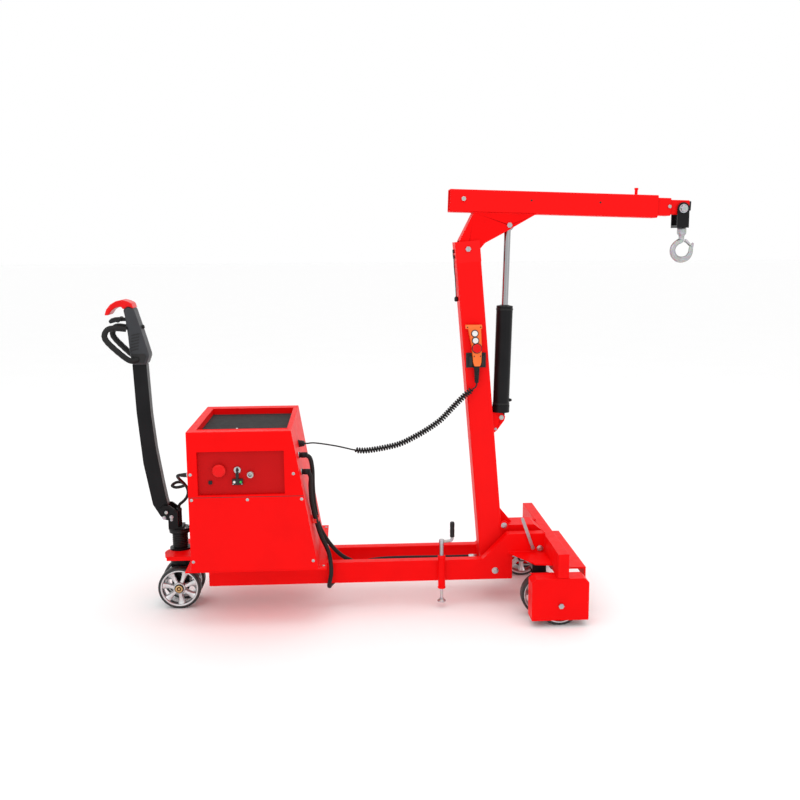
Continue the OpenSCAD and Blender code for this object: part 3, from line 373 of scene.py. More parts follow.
for i in range(count + 1):
    d = run[-1] * i / count
    k = max(j for j in range(len(run)) if run[j] <= d + 1e-12)
    k = min(k, len(centre) - 2)
    f = (d - run[k]) / (run[k + 1] - run[k])
    c = centre[k].lerp(centre[k + 1], f)
    t = (centre[k + 1] - centre[k]).normalized()
    n1 = Vector((-t.z, 0, t.x))
    r = COIL_R * min(1, 0.05 + i / STEPS, 0.05 + (count - i) / STEPS)
    a = 2 * math.pi * i / STEPS
    helix.append(c + n1 * (r * math.cos(a)) + Y * (r * math.sin(a)))
path = [W(*p) for p in lead] + helix + [W(*p) for p in tail]
flex = make("curly_cord", Build().tube(path, CORD_D * 1000 / 2, 10), RUBBER, "chassis",
            stands=["pendant_cord"], smooth=80)

HOSE_A = [(box_x(761) + 16, -200, 761), (box_x(761) + 23, -200, 761), (box_x(761) + 30, -200, 761),
          (636, -198, 745), (645, -188, 690), (645, -160, 600), (650, -120, 500), (672, -80, 380),
          (730, -40, 270), (800, -24, 205), (900, -24, 185), (1322, -24, 185), (1417, -24, 185)]
HOSE_B = [(box_x(690) + 16, -230, 690), (box_x(690) + 22, -230, 690), (box_x(690) + 28, -230, 690),
          (638, -226, 665), (636, -215, 610), (642, -195, 520), (675, -176, 380), (704, -170, 310),
          (717, -168, 262), (722, -166, 190), (712, -163, 132), (712, -130, 108), (722, -85, 105),
          (760, -40, 120), (850, 0, 160), (960, 24, 185), (1322, 24, 185), (1417, 24, 185)]
CABLE = [(66, -280, 697), (62, -280, 697), (58, -280, 697), (47, -264, 688), (45, -205, 660), (45, -135, 630),
         (45, -75, 602), (24, -34, 584), (-8, -18, 576), (-28, 2, 580), (-12, 22, 590), (16, 24, 588),
         (38, 14, 568), (45, 4, 544), (38, 0, 522), (22, 0, 503), (6, 0, 490), (0, 0, 480), (0, 0, 475.2),
         (0, 0, 470.3)]
for name, route, r, node in (("hose_upper", HOSE_A, 10, "hose_a"), ("hose_lower", HOSE_B, 10, "hose_b"),
                             ("tiller_lead", CABLE, 7, "tiller_cable")):
    pts = [W(*p) for p in spline(route, 8)]
    make(name, Build().tube(pts, r, 16), RUBBER, "chassis", stands=[node], smooth=80)
b = Build()
for route in (HOSE_A, HOSE_B):
    p0 = W(*route[0])
    b.lathe([(14, -17), (14, -10), (12, -9), (12.5, -2), (13, -1), (13, 14), (12.2, 15), (12.2, 17),
             (13, 18), (12, 24), (10.4, 25)], p0, X, 28)
make("hose_ferrules", b, BLACK, "chassis")
b = Build()
for k in range(3):
    loop = []
    for j in range(24):
        a = 2 * math.pi * j / 24
        loop.append(W(645 + 24 * math.cos(a), -158 + 40 * math.sin(a), 440 + k * 7))
    b.tube(loop + [loop[0]], 3.2, 8)
make("hose_tie", b, REDP, "chassis")


# ---------------------------------------------------------------- wheels
def ring_points(r, w, corner, n=5):
    """Closed half profile of a ring: outer corners rounded."""
    out = []
    for s in (-1, 1):
        arc = [(r - corner + corner * math.sin(a), s * (w / 2 - corner + corner * math.cos(a)))
               for a in [math.pi / 2 * i / n for i in range(n + 1)]]
        out += arc if s < 0 else arc[::-1]
    return out


WHEEL_R = 100  # mm, all six wheels
SPOKES = 7


def wheel(tag, x, y, body, node, bore):
    """Tyre, spoked hub and seals of one wheel; bore is the radius of its hole in mm."""
    at = W(x, y, WHEEL_R)
    tread = ring_points(WHEEL_R, 49, 7) + [(88, 23.5), (87.2, 20), (87.2, -20), (88, -23.5)]
    tyre = Build().lathe(tread, at, Y, 72, loop=True)
    make(tag + "_tyre", tyre, TYRE, body, stands=[node])
    rim = Build().lathe([(89, -22.5), (86, -24), (82, -23), (80, -19), (78, -14), (76, -4), (76, 4), (78, 14),
                         (80, 19), (82, 23), (86, 24), (89, 22.5), (87.4, 0)], at, Y, 72, loop=True)
    hub = [(bore + 0.05, -25), (24, -25), (26, -24), (28, -21), (29, -16), (31, -12), (31, 12), (29, 16),
           (28, 21), (26, 24), (24, 25), (bore + 0.05, 25)]
    rim.lathe(hub, at, Y, 48, loop=True)
    for i in range(SPOKES):
        a = 2 * math.pi * i / SPOKES + 0.3
        d = X * math.cos(a) + Z * math.sin(a)
        s = X * -math.sin(a) + Z * math.cos(a)
        rings = []
        for r, w, h in ((28, 11, 15), (38, 10, 14), (52, 11, 13), (66, 13.5, 13.5), (74, 16.5, 15),
                        (79, 20, 16)):
            rings.append([at + d * (r / 1000) + s * (w * u / 1000) + Y * (h * v / 1000)
                          for u, v in ((-1, -0.6), (-0.6, -1), (0.6, -1), (1, -0.6), (1, 0.6), (0.6, 1),
                                       (-0.6, 1), (-1, 0.6))])
        rim.rings(rings)
    make(tag + "_hub", rim, ALU, body, smooth=50)
    seal = Build()
    for s in (-1, 1):
        seal.lathe([(bore + 0.6, 24.2), (22, 24.2), (22.6, 25.6), (21.5, 26.3), (19.5, 25.8), (18, 26.4),
                    (bore + 0.6, 26.2)], at, Y * s, 40, loop=True)
    make(tag + "_seals", seal, RUBBER, body)


wheel("drive_wheel_right", 0, -65, "rear_wheel_r", "rear_wheel_right", 14)
wheel("drive_wheel_left", 0, 65, "rear_wheel_l", "rear_wheel_left", 14)
wheel("end_wheel_right", 1752, -395, "front_wheel_r", "front_wheel_right", 10)
wheel("end_wheel_left", 1752, 395, "front_wheel_l", "front_wheel_left", 10)
wheel("inner_wheel_right", 1699, -275, "fork_wheel_r", "fork_wheel_right", 10)
wheel("inner_wheel_left", 1699, 275, "fork_wheel_l", "fork_wheel_left", 10)
b = Build()
for s in (-1, 1):
    b.lathe([(16.5, 93.2), (17, 94), (17, 97), (15.5, 98), (11, 98), (9.5, 96), (6, 96), (5, 97.5),
             (0, 97.5)], W(0, 0, WHEEL_R), Y * s, 36)
make("drive_axle_caps", b, BRASS, "steering")

# ---------------------------------------------------------------- bolts with washers
b = Build()
lug_z = 367
lug_x = MAST_X + (MAST_HALF - (lug_z - MAST_Z) * math.sin(lean)) / math.cos(lean) + 11
for s in (-1, 1):
    n = Y * s
    b.hexhead(W(1500, s * 140, 168), n, 12, 8)
    b.hexhead(W(1714, s * 140, 272), n, 12, 8)
    b.hexhead(W(lug_x, s * 68, lug_z), n, 11, 7)
    b.hexhead(W(1514, s * 25.3, 832), n, 5, 4)
    for x, z in ((116, 711), (567, 708), (117, 596), (362, 594), (601, 592), (114, 313), (646, 306)):
        b.lathe([(7, 0), (7, 0.8), (5.6, 2.2), (3.5, 3), (1.6, 3.1), (1.2, 2.4), (0, 2.4)],
                W(x, s * 341, z), n, 24)
for y in (-300, 300):
    b.lathe([(7.5, 0), (7.5, 1), (5.6, 2.6), (0, 3)], W(690, y, 268), Z, 24)
make("screws_and_bolts", b, ZINC, "chassis", stands=["frame_bolts"])

# ---------------------------------------------------------------- weld beads
def bead(b, pts, r=3.2):
    """A wavy fillet laid along straight runs between points in mm."""
    out, rad = [], []
    for p, q in zip(pts, pts[1:]):
        p, q = W(*p), W(*q)
        k = max(3, int((q - p).length / 0.004))
        for i in range(k):
            out.append(p.lerp(q, i / k))
            rad.append(r * (0.86 + 0.2 * abs(math.sin(len(out) * 1.3))))
    out.append(W(*pts[-1]))
    rad.append(r)
    b.tube(out, rad, 8)


b = Build()
for s in (-1, 1):
    bead(b, [(mast(-8, -MAST_HALF)[0], s * 61, 219), (mast(-8, MAST_HALF)[0], s * 61, 219)])
    bead(b, [(1562, s * 141, 259), (1735, s * 141, 259)])
    bead(b, [(1735, s * 91, 347), (1735, s * 139, 347)])
    bead(b, [(1735, s * 141, 240), (1735, s * 141, 345)])
    bead(b, [(1735, s * 59, 340), (1735, s * 61, 240)])
    bead(b, [(1623, s * 360, 227), (1735, s * 360, 227)], 2.4)
    bead(b, [(1787, s * 352, 227), (1787, s * 438, 227)], 2.6)
    bead(b, [(229, s * 139, 253), (160, s * 139, 253)])
    tie = mast(150, MAST_HALF)
    bead(b, [(tie[0] + 1, s * 59, tie[1] - 20), (mast(20, 58)[0], s * 59, mast(20, 58)[1])])
    bead(b, [(mast(143, MAST_HALF)[0] + 1, s * 4.5, 372), (mast(218, MAST_HALF)[0] + 1, s * 4.5, 440)], 2.2)
    bead(b, [(mast(598, 58)[0], s * 21, mast(598, 58)[1]), (mast(680, 58)[0], s * 21, mast(680, 58)[1])], 2)
make("frame_welds", b, RED, "chassis", smooth=80)


def under(x):
    """Height of the outer boom tube's lower face."""
    return boom_z - (x - boom_x) * math.tan(drop)


b = Build()
knee_back, knee_front = pv[0] + 27, pv[0] + 315
for s in (-1, 1):
    bead(b, [(knee_back, s * 49, under(knee_back) - 1), (knee_front, s * 49, under(knee_front) - 1)], 2.8)
bead(b, [(knee_back, -38, under(knee_back) - 1), (knee_back, 38, under(knee_back) - 1)], 2.8)
make("boom_welds", b, RED, "boom", smooth=80)

# ---------------------------------------------------------------- mast lead with clips
b = Build()
for s in (1448, 1422):
    b.prism([mast(s, -MAST_HALF), mast(s, -65), mast(s + 16, -65), mast(s + 16, -MAST_HALF)], -10, 10)
p = mast(1235, -66)
b.lathe([(4, -12), (8, -10), (9, -4), (9, 4), (7, 9), (3.5, 12)], W(p[0], 0, p[1]), Z, 24)
make("mast_clips", b, PLAST, "chassis", bevel=0.8)
pts = [W(mast(s, t)[0], y, mast(s, t)[1]) for s, t, y in
       spline([(1464, -61, 0), (1440, -64, 0), (1424, -62, 1), (1380, -63, 4), (1330, -62.5, 3),
               (1280, -64, 1), (1246, -65.5, 0)], 6)]
make("mast_lead", Build().tube(pts, 2.2, 8), RUBBER, "chassis", smooth=80)

# ---------------------------------------------------------------- control panel
PYF = -320  # y of the panel's face
knob_at, key_at = W(241, PYF, 726), W(320, PYF, 726)
b = Build().lathe([(22, 0), (22, 3), (20, 4.2), (9, 4.2), (8.4, 3), (8.4, 0)], knob_at, -Y, 40, loop=True)
make("estop_collar", b, PLAST, "chassis")
b = Build().lathe([(8, -3), (8, 12.2), (24, 12.2), (28, 13.5), (29, 16), (28.6, 20), (26, 23.4), (21, 25.4),
                   (12, 26), (0, 26)], knob_at, -Y, 48)
make("estop_mushroom", b, REDP, "estop", stands=["estop_button"], smooth=50)
b = Build().lathe([(7.2, 0), (16, 0), (16.5, 1), (16.5, 5), (15, 7.4), (12, 8), (7.2, 8)], key_at, -Y, 40,
                  loop=True)
b.lathe([(14, 0), (14, 15), (13, 17), (9, 18), (8.2, 17), (8.2, 6), (0, 6)], W(377, PYF, 705), -Y, 36)
for i in range(24):
    a = 2 * math.pi * i / 24
    c = W(377 + 14 * math.cos(a), 0, 705 + 14 * math.sin(a))
    b.tube([Vector((c.x, (PYF - 3) / 1000, c.z)), Vector((c.x, (PYF - 15) / 1000, c.z))], 1.0, 6)
for x in (301, 339):
    b.lathe([(2.6, 0), (2.4, 1.2), (1, 1.6), (0, 1.6)], W(x, PYF - 12, 664), -Y, 16)
make("panel_metal", b, ZINC, "chassis", smooth=45)
b = Build().box(296.5, 343.5, PYF - 12.2, PYF, 659.5, 686.5)
b.box(192, 208, PYF - 6.5, PYF, 663, 679)
b.lathe([(9, 0), (9, 2), (7, 2.6), (0, 2.6)], W(200, PYF - 6, 671), -Y, 24)
make("panel_blocks", b, PLAST, "chassis", bevel=1.2)
for nm, x, mt in (("lamp_white", 306, WHITE), ("lamp_green", 334, GREEN)):
    b = Build().lathe([(5.6, -0.5), (5.6, 2), (4.8, 3.6), (2.8, 4.8), (0, 5.2)], W(x, PYF - 12, 673), -Y, 28)
    make(nm, b, mt, "chassis", smooth=60)
# the panel sheet in the recess is coloured with painted shade, a darker red
b = Build().box(146.4, 526.6, PYF + 0.2, PYF - 0.6, 616.4, 811.6)
make("panel_sheet", b, RECESS_SHADE_RED, "chassis", stands=["control_panel"])
b = Build().lathe([(6.6, 8.4), (6.6, 12), (5, 12.4), (0, 12.4)], key_at, -Y, 24)
b.prism([(317.6, 714), (322.4, 714), (324, 718), (324, 734), (322, 738), (318, 738), (316, 734),
         (316, 718)], PYF - 19, PYF - 12)
b.prism([(315, 690), (318, 688.5), (322, 688.5), (325, 690), (327.5, 700), (327, 712), (323, 716),
         (317, 716), (313, 712), (312.5, 700)], PYF - 19, PYF - 15)
make("key_and_fob", b, PLAST, "key", bevel=0.8, stands=["ignition_key"])

# ---------------------------------------------------------------- side connectors on the box
b = Build()
gland_at = W(box_x(cord_z) - 2, cord_y, cord_z)
cable_at = W(103, -280, 697)  # where the tiller cable leaves the box
b.lathe([(18, 0), (18, 3), (16, 4), (16, 8), (15, 9), (15, 18), (13.5, 19), (13.5, 26), (10, 29), (6, 31),
         (4, 34), (3.6, 40)], gland_at, X, 32)
b.lathe([(10, 10), (10, 22), (9, 30), (7.4, 40)], cable_at, -X, 32)
b.lathe([(13, 0), (13, 8), (11, 11), (7.6, 13)], W(0, 0, 458), Z, 24)
make("cord_glands", b, PLAST, "chassis")
b = Build()
for z, y in ((761, -200), (690, -230)):
    b.lathe([(15, 0), (15, 2.5), (13, 3.5), (0, 3.5)], W(box_x(z) - 1, y, z), X, 28)
b.lathe([(13, 0), (13, 2), (11.5, 3), (11.5, 12), (10, 13)], cable_at, -X, 32)
for s in (-1, 1):
    b.hexhead(W(1417, s * 24, 185), X, 14, 18, washer=False)
    b.lathe([(12.5, 0), (12.5, 24), (11, 26), (10.3, 27)], W(1419, s * 24, 185), -X, 24)
make("hydraulic_unions", b, ZINC, "chassis", stands=["fittings"])

# ---------------------------------------------------------------- pendant
prof = [(7, 0), (8.2, 2)]
for i in range(9):
    h, r = 5 + i * 8, 8.6 + i * 0.5
    prof += [(r + 1.6, h), (r + 1.6, h + 4), (r, h + 5), (r, h + 7.4)]
prof += [(13.4, 78), (13.4, 80)]
b = Build().lathe(prof, W(boot_x, cord_y, boot_z), Z, 28)
make("pendant_boot", b, RUBBER, "chassis", smooth=30)


CASE_Y, BACK_Y = -98, -66  # front and back of the pendant's case
# piece, x beside the pendant's middle, z, radius, how far it stands out, material, body, CAD node, slot
BUTTONS = (
    ("button_up", -2, 1296, 13, 6, WHITE, "pendant_up", "pendant_up_button", "white_plastic"),
    ("button_down", 1, 1263, 13, 6, WHITE, "pendant_down", "pendant_down_button", "white_plastic"),
    ("button_stop", 8, 1227, 20, 10, REDP, "pendant_stop", "pendant_stop_button", "red_plastic"))


def pend(pts):
    """Outline points measured from the middle of the pendant."""
    return [(pend_x + x, z) for x, z in pts]


b = Build()
shape = [(-43, 1317), (-43, 1335), (32, 1335), (32, 1317), (27, 1317), (31, 1230), (30, 1162), (24, 1143),
         (-2, 1143), (-9, 1162), (-13, 1230), (-32, 1317)]
b.prism(pend(shape), CASE_Y, BACK_Y)
make("pendant_case", b, ORANGE, "chassis", bevel=3.5, seg=3, stands=["pendant_body"])
b = Build()
for button in BUTTONS:
    x, z, r = button[1:4]
    b.lathe([(r + 0.4, 0), (r + 4, 0), (r + 4, 1.6), (r + 3, 2.8), (r + 0.4, 2.8)],
            W(pend_x + x, CASE_Y, z), -Y, 36, loop=True)
for z in (1325, 1190):
    for dx in ((-36, 25) if z > 1300 else (-4, 25)):
        b.lathe([(3, 0), (3, 0.8), (1.4, 1.2), (0, 1.2)], W(pend_x + dx, CASE_Y, z), -Y, 16)
make("pendant_bezels", b, PLAST, "chassis")
for nm, x, z, r, h, mt, body, node, sl in BUTTONS:
    b = Build().lathe([(r, -4), (r, h - 1.2), (r - 0.8, h - 0.4), (r - 2.5, h), (r - 4, h - 0.8),
                       (0, h - 1.1)], W(pend_x + x, CASE_Y, z), -Y, 36)
    make(nm, b, mt, body, stands=[node], smooth=50)
b = Build()
b.box(pend_x - 38, pend_x + 55, BACK_Y, -60, 1134, 1203)
for x0, x1 in ((-24, -12), (33, 45)):
    b.prism([(pend_x + x0, 1146), (pend_x + x1, 1146), (pend_x + x1, 1186), (pend_x + x0 + 3, 1190),
             (pend_x + x0, 1186)], -90, BACK_Y)
for x, z in ((-30, 1196), (48, 1196), (-30, 1141), (48, 1141)):
    b.lathe([(4, 0), (4, 1.4), (2, 2), (0, 2)], W(pend_x + x, BACK_Y, z), -Y, 16)
make("pendant_cradle", b, PLAST, "chassis", bevel=1.5, stands=["pendant_holder"])

# ---------------------------------------------------------------- tiller head
b = Build()
prof = [(-179, 1164), (-113, 1164), (-97, 1205), (-112, 1262), (-134, 1342), (-158, 1424), (-182, 1434),
        (-206, 1420), (-200, 1390), (-193, 1330), (-190, 1300), (-186, 1230)]
b.prism(prof, -45, 45)
make("head_shell", b, HEAD, "tiller", bevel=9, seg=4, stands=["tiller_head"])
b = Build()
for s in (-1, 1):
    for i in range(6):
        z = 1228 + i * 14
        x = -184 + 1.8 * i
        b.prism([(x + 2, z), (x + 40, z + 9), (x + 40, z + 14), (x + 2, z + 5)], s * 44.5, s * 47)
    b.prism([(-176, 1172), (-122, 1172), (-108, 1205), (-116, 1216), (-176, 1216)], s * 44, s * 47.5)
b.lathe([(9, 0), (9, 8), (7.5, 10), (0, 10.4)], W(-131, 0, 1336), Vector((0.97, 0, 0.26)), 28)
thumb_at = W(-232, 0, 1372)
for s in (1, -1):
    b.lathe([(6, 34), (12, 34), (12, 40), (8, 41.5), (6, 41.5)], thumb_at, Y * s, 28, loop=True)
b.lathe([(5.9, -41), (5.9, 41)], thumb_at, Y, 24)
b.box(-234, -196, -9, 9, 1364, 1380)
make("head_trim", b, PLAST, "tiller", bevel=0.9)
cap = [(-182, 1434), (-158, 1424), (-166, 1448), (-186, 1458), (-208, 1464), (-236, 1458), (-262, 1443),
       (-281, 1420), (-290, 1394), (-272, 1394), (-256, 1416), (-238, 1428), (-212, 1432), (-206, 1420)]
b = Build().prism(cap, -48, 48)
make("head_cap", b, REDP, "tiller", bevel=5, seg=3, stands=["tiller_cap"])
b = Build()
for s in (-1, 1):
    route = [(-150, s * 44, 1190), (-182, s * 66, 1188), (-240, s * 76, 1238), (-282, s * 78, 1286),
             (-282, s * 76, 1318), (-258, s * 66, 1336), (-196, s * 44, 1330)]
    pts = [W(*p) for p in spline(route, 10)]
    b.tube(pts, [13.7 if (i // 2) % 2 and 14 < i < 40 else 13.0 for i in range(len(pts))], 20)
make("grip_loops", b, RUBBER, "tiller", stands=["tiller_loops"], smooth=50)
b = Build()
for s in (-1, 1):
    b.prism([(-240, 1381), (-226, 1382), (-222, 1372), (-228, 1363), (-246, 1361), (-268, 1355),
             (-275, 1361), (-275, 1369), (-262, 1380)], s * 12, s * 34)
make("butterfly_wings", b, PLAST, "butterfly", bevel=2.5, seg=3, stands=["throttle"])

# ---------------------------------------------------------------- steering unit trim
b = Build()
for s in (-1, 1):
    b.hexhead(W(-30, s * 42, 438), Y * s, 7, 6)
    b.hexhead(W(-30, s * 42, 424), Y * s, 5, 4)
    b.hexhead(W(-52, s * 48, 462), Y * s, 9, 3, washer=False)
    b.hexhead(W(-64, s * 42, 435), Y * s, 7, 5)
for i in range(6):
    a = math.pi / 3 * i + 0.3
    if math.cos(a) > -0.2:  # none at the rear
        b.hexhead(W(42 * math.cos(a), 42 * math.sin(a), 377), Z, 5, 4, washer=False)
make("steering_bolts", b, ZINC, "steering")
b = Build()
for k in range(7):
    b.lathe([(33.2, 0), (37, 0.6), (37, 3.2), (33.2, 3.8)], W(0, 0, 288 + k * 9), Z, 48, loop=True)
b.lathe([(47, 0), (51, 1), (51, 6), (47, 7)], W(0, 0, 362), Z, 48, loop=True)
make("motor_fins", b, BLACK, "steering")
b = Build()
for i in range(8):
    a = math.pi / 4 * i
    b.hexhead(W(64 * math.cos(a), 64 * math.sin(a), 234), -Z, 5, 4, washer=False)
make("ring_bolts", b, ZINC, "chassis")

# ---------------------------------------------------------------- ram
ram_base = mast(656.9, 100.6)  # (x, z) of the ram's lower pin
ram_top = (pv[0] + 192, pv[1] + 107)  # (x, z) of the pin in the boom
axis = Vector((ram_top[0] - ram_base[0], 0, ram_top[1] - ram_base[1])).normalized()
ram_foot = W(ram_base[0], 0, ram_base[1])
b = Build().lathe([(15.3, 520), (26, 520), (34, 522), (38.5, 524), (38.7, 526.5), (37, 529), (24, 531),
                   (20, 533), (15.4, 533.5)], ram_foot, axis, 56, loop=True)
for h in (60, 508):
    b.lathe([(38.4, h), (40.2, h + 1), (40.2, h + 8), (38.4, h + 9)], ram_foot, axis, 56, loop=True)
front = Y.cross(axis)
b.lathe([(8, 0), (8, 6), (6, 8), (6, 12)], ram_foot + axis * 0.08 + front * 0.038, front, 20)
make("ram_gland", b, BLACK, "barrel")
b = Build()
for s in (-1, 1):
    b.lathe([(17.4, 8.5), (25.8, 8.5), (25.8, 17.2), (24.6, 17.8), (17.4, 17.8)],
            W(ram_top[0], 0, ram_top[1]), Y * s, 44, loop=True)
make("rod_eye_faces", b, CHROME, "rod")

# ---------------------------------------------------------------- hook
hx = clevis_x + 10
clow = clevis_z - 88  # lower face of the clevis
b = Build()
b.lathe([(10, 14), (12, 14), (17, 13), (17, 1), (10.05, 0.4)], W(hx, 0, clow + 12), Z, 6)
b.lathe([(10, -0.3), (20, -0.3), (21, -2), (21.5, -8), (21.5, -24), (19.5, -30), (16, -33), (13.2, -38),
         (12.6, -52)], W(hx, 0, clow), Z, 40)
b.lathe([(10, -2), (10, 27), (9, 28)], W(hx, 0, clow), Z, 32)
nz = clow - 60
bow_x, bow_z = hx + 4, nz - 43.5
pts, rad = [], []
for p in spline([(hx, nz + 12, 12.6), (hx - 1, nz + 2, 12.8), (bow_x - 22, bow_z + 37, 12.6),
                 (bow_x - 38, bow_z + 21, 13), (bow_x - 44.5, bow_z, 13.6), (bow_x - 38, bow_z - 24, 14.2),
                 (bow_x - 20, bow_z - 40, 14.8), (bow_x + 2, bow_z - 43.6, 14.6),
                 (bow_x + 24, bow_z - 36.5, 13.6), (bow_x + 38, bow_z - 20, 12),
                 (bow_x + 42.5, bow_z - 3, 11), (bow_x + 43.5, bow_z + 9, 10.2),
                 (bow_x + 48, bow_z + 22, 8), (bow_x + 53, bow_z + 34, 4.2)], 6):
    pts.append(W(p[0], 0, p[1]))
    rad.append(p[2])
b.tube(pts, rad, 20, flat=0.86)
lx, lz = hx + 18, nz + 2
b.tube([W(lx, -18, lz), W(lx, 18, lz)], 3, 16)
b.box(hx + 6, lx + 5, -9, 9, lz - 5, lz + 6)
make("forged_hook", b, ZINC, "hook", stands=["lifting_hook"], smooth=50)
b = Build()
for s in (-1, 1):
    b.prism([(lx - 4, lz - 4), (lx + 1, lz + 5), (lx + 8, lz), (lx + 18, lz - 11), (lx + 30, lz - 24),
             (lx + 27, lz - 28), (lx + 12, lz - 14)], s * 15, s * 16.6)
b.prism([(lx + 7, lz - 1), (lx + 18, lz - 12), (lx + 30, lz - 24), (lx + 29, lz - 25.2),
         (lx + 17, lz - 13.2), (lx + 6, lz - 2.2)], -15, 15)
make("latch_plate", b, ZINC, "latch", bevel=0.5, stands=["hook_latch"])
b = Build()
for s in (-1, 1):
    b.hexhead(W(clevis_x, s * 45, clevis_z), Y * s, 15.5, 9)
make("clevis_bolt_heads", b, ZINC, "clevis")

# ---------------------------------------------------------------- mast and boom tubes
bu = Vector((math.cos(drop), 0, -math.sin(drop)))
bv = Vector((math.sin(drop), 0, math.cos(drop)))
b0 = W(boom_x, 0, boom_z)
BOOM_MID = 51.5  # middle of the three boom tubes above the corner b0


def uv(u, y, v):
    """A point in the boom's own axes, mm from the lower rear corner of the outer tube."""
    return b0 + bu * (u / 1000) + Y * (y / 1000) + bv * (v / 1000)


def st(s, y, t):
    """A point in the mast's own axes, mm along it, across the machine and forward."""
    x, z = mast(s, t)
    return W(x, y, z)


def rounded(w, h, r, mid, n=5):
    """Closed outline of a rounded rectangle, w and h its half sizes."""
    out = []
    for k, (a, c) in enumerate(((1, 1), (-1, 1), (-1, -1), (1, -1))):
        for i in range(n + 1):
            g = math.pi / 2 * (k + i / n)
            out.append((a * (w - r) + r * math.cos(g), mid + c * (h - r) + r * math.sin(g)))
    return out


def box_tube(b, put, a0, a1, w, h, wall, r, mid):
    """An open tube from a0 to a1 along its axis, w and h its half sizes; put places a point."""
    out, inn = rounded(w, h, r, mid), rounded(w - wall, h - wall, max(1, r - wall / 2), mid)
    lip = 0.8  # chamfer around the open ends
    small = rounded(w - lip, h - lip, max(1, r - lip), mid)
    ring = [(a0 + lip, out), (a1 - lip, out), (a1, small), (a1, inn), (a0, inn), (a0, small)]
    return b.rings([[put(a, y, v) for y, v in o] for a, o in ring], loop=True)


b = box_tube(Build(), uv, 0, 966, w=50, h=51.5, wall=5, r=9, mid=BOOM_MID)
make("boom_tube", b, RED, "boom", stands=["boom_outer"], flat=True)
b = box_tube(Build(), uv, 420, 1029, w=41, h=40.5, wall=4, r=7, mid=BOOM_MID)
make("second_tube", b, RED, "second_stage", stands=["boom_second"], flat=True)
b = box_tube(Build(), uv, 640, 1118, w=33, h=33, wall=4, r=6, mid=BOOM_MID)
b.rings([[uv(u, y, v) for y, v in rounded(29.2, 29.2, 3, BOOM_MID)] for u in (1112, 1117)])
make("tip_tube", b, RED, "tip_stage", stands=["boom_tip"], flat=True)
b = Build().rings([[uv(u, y, v) for y, v in rounded(w, h, 3, 59.5)] for u, w, h in
                   ((1117.5, 19.8, 22), (1129, 19.8, 22), (1131, 18.5, 20.6))])
make("tip_plug", b, BLACK, "tip_stage")
MAST_SIDE, MAST_WALL, MAST_ROUND = 60, 6, 9  # half the mast's width, its wall and corner radius
b = box_tube(Build(), st, -75, 1401, w=MAST_SIDE, h=MAST_HALF, wall=MAST_WALL, r=MAST_ROUND, mid=0)
# the top of the mast is open in front: its rear wall and two cheeks
cheek, rear = MAST_SIDE - MAST_WALL, MAST_WALL - MAST_HALF
cut = [(MAST_SIDE, MAST_HALF), (cheek, MAST_HALF), (cheek, rear), (-cheek, rear), (-cheek, MAST_HALF),
       (-MAST_SIDE, MAST_HALF)]
corner = [(MAST_SIDE + MAST_ROUND * (math.cos(a) - 1), -MAST_HALF + MAST_ROUND * (1 - math.sin(a)))
          for a in [math.pi / 2 * i / 5 for i in range(6)]]
outline = cut + [(-y, t) for y, t in corner] + [(y, t) for y, t in reversed(corner)]
b.rings([[st(s, y, t) for y, t in outline] for s in (1400, 1497)])
make("mast_box", b, RED, "chassis", stands=["mast_tube"], flat=True)
b = Build()
for s in (-1, 1):
    b.hexhead(uv(62, s * 50.2, 60), Y * s, 11.5, 8, washer=False)
make("boom_bolt_heads", b, ZINC, "boom")
b = Build().hexhead(uv(1022, -41.2, 53), -Y, 9, 7, washer=False)
make("stage_bolt_head", b, ZINC, "second_stage")
# painted shade: thin black discs on the boom's sides stand for the dark inside of its tapped holes
b = Build()
for s in (-1, 1):
    for u in (375, 695):
        b.lathe([(4.2, 0), (4, 0.6), (0, 0.7)], uv(u, s * 50, 61.5), Y * s, 20)
make("boom_tapped_holes", b, PLAST, "boom")

# ---------------------------------------------------------------- jack crank
b = Build()
jx, jy = 1242, -160  # axis of the jack
jack_at = W(jx, jy, 0)
crank_x = jx + 50
TURNS, THREAD_PITCH = 14, 6.25  # thread of the spindle, pitch in mm
b.lathe([(10, 150), (10, 316), (12, 316), (12.5, 318), (12.5, 332), (11, 334.5), (0, 335)], jack_at, Z, 32)
thread = []
for i in range(TURNS * 20 + 1):
    a = 2 * math.pi * i / 20
    thread.append(W(jx + 6.2 * math.cos(a), jy + 6.2 * math.sin(a), 52 + THREAD_PITCH * i / 20))
b.tube(thread, 1.3, 6)
b.lathe([(6.4, 48), (6.4, 150)], jack_at, Z, 20)
b.tube([W(*p) for p in spline([(jx, jy, 324), (jx + 20, jy, 325), (jx + 40, jy, 327), (jx + 48, jy, 333),
                               (crank_x, jy, 345), (crank_x, jy, 360)], 6)], 7, 14)
make("jack_spindle_steel", b, ZINC, "jack_spindle", stands=["jack_screw"])
b = Build().lathe([(7, 344), (10, 345), (11, 350), (10.4, 360), (11, 372), (10.4, 388), (11, 404),
                   (10.6, 414), (8, 418.5), (0, 419)], W(crank_x, jy, 0), Z, 28)
make("jack_crank_grip", b, PLAST, "jack_spindle")
b = Build().lathe([(20, 31), (20.5, 33), (20, 36), (12, 42), (9.5, 44), (9.5, 48), (0, 48)], jack_at, Z, 36)
make("jack_pad_steel", b, ZINC, "jack_pad", stands=["jack_foot"])
b = Build()
for z0 in (97, 247):
    b.lathe([(16.9, z0), (18.6, z0 + 1), (18.6, z0 + 6), (16.9, z0 + 7)], jack_at, Z, 36, loop=True)
b.lathe([(18, 250), (18, 255.4), (15, 257), (10.4, 257)], jack_at, Z, 36)
make("jack_tube_rims", b, RED, "chassis")
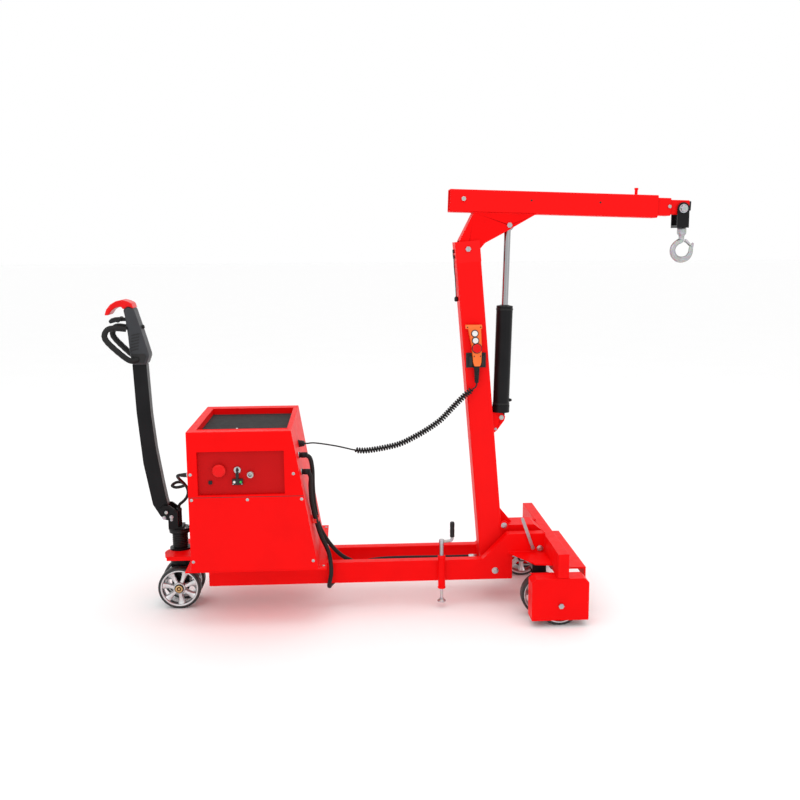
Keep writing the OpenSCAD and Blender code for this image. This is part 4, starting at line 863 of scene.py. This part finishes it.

# ---------------------------------------------------------------- box trim
# black strip along the seam between the box covers: a dark gasket line that also carries painted shade of the
# gap between them
b = Build()
for s in (-1, 1):
    b.prism([(103.5, 606), (610, 606), (610, 608), (103.5, 608)], s * 340, s * 341.3)
make("cover_seam", b, PLAST, "chassis")
b = Build()
rear_x, front_x = 103, box_x(BOX_TOP)
tray_rear, tray_front, tray_y = 139, 541, 276  # edge of the tray in the box's top
for s in (-1, 1):
    b.tube([W(rear_x + 2, s * 339, 899), W(front_x - 2, s * 339, 899)], 2.2, 12)
    b.tube([W(tray_rear, s * tray_y, BOX_TOP), W(tray_front, s * tray_y, BOX_TOP)], 1.8, 10)
for x, yy in ((rear_x + 2, 339), (front_x - 2, 339)):
    b.tube([W(x, -yy, 899), W(x, yy, 899)], 2.2, 12)
for x in (tray_rear, tray_front):
    b.tube([W(x, -tray_y, BOX_TOP), W(x, tray_y, BOX_TOP)], 1.8, 10)
make("tray_rim", b, RED, "chassis", smooth=60)
b = Build().lathe([(5, 0), (5, 1.5), (3, 2.6), (0, 2.8)], W(300, -114, 872), Z, 24)
make("mat_stud", b, WHITE, "chassis")
b = Build()
for y0, y1 in ((-340.8, -337), (337, 340.8)):
    b.prism([(box_x(268), 266), (703, 266), (703, 262), (box_x(268), 262)], y0, y1)
make("base_edges", b, RED, "chassis")

for name, o in nodes.items():
    if not o.hide_render:
        soften(o, ROUND.get(name, ROUND_REST))

# ---------------------------------------------------------------- floor, light
me = bpy.data.meshes.new("floor")
me.from_pydata([(-80, -20, 0), (80, -20, 0), (80, 160, 0), (-80, 160, 0)], [], [(0, 1, 2, 3)])
floor = bpy.data.objects.new("floor", me)
me.materials.append(material("floor", (0.985, 0.985, 0.985), 0.8, var=0.004, bump=0.02, scale=1.5))
bpy.context.collection.objects.link(floor)
world = bpy.data.worlds.new("world")
bpy.context.scene.world = world
world.use_nodes = True
world.node_tree.nodes["Background"].inputs["Color"].default_value = (1, 1, 1, 1)
world.node_tree.nodes["Background"].inputs["Strength"].default_value = 1.0


def area(name, loc, target, size, power):
    """A square area light, size in metres and power in watts, aimed at target."""
    ld = bpy.data.lights.new(name, "AREA")
    ld.size = size
    ld.energy = power
    o = bpy.data.objects.new(name, ld)
    bpy.context.collection.objects.link(o)
    o.location = loc
    o.rotation_mode = "QUATERNION"
    o.rotation_quaternion = (Vector(target) - Vector(loc)).to_track_quat("-Z", "Y")


area("key", (-2.5, -4.5, 4.0), (0, 0, 0.8), 3.0, 30)
area("top", (0.3, -0.5, 5.5), (0, 0, 0.5), 4.0, 50)
area("fill", (3.5, -4.0, 2.0), (0.3, 0, 0.7), 3.0, 8)
bpy.context.scene.view_settings.view_transform = "Standard"
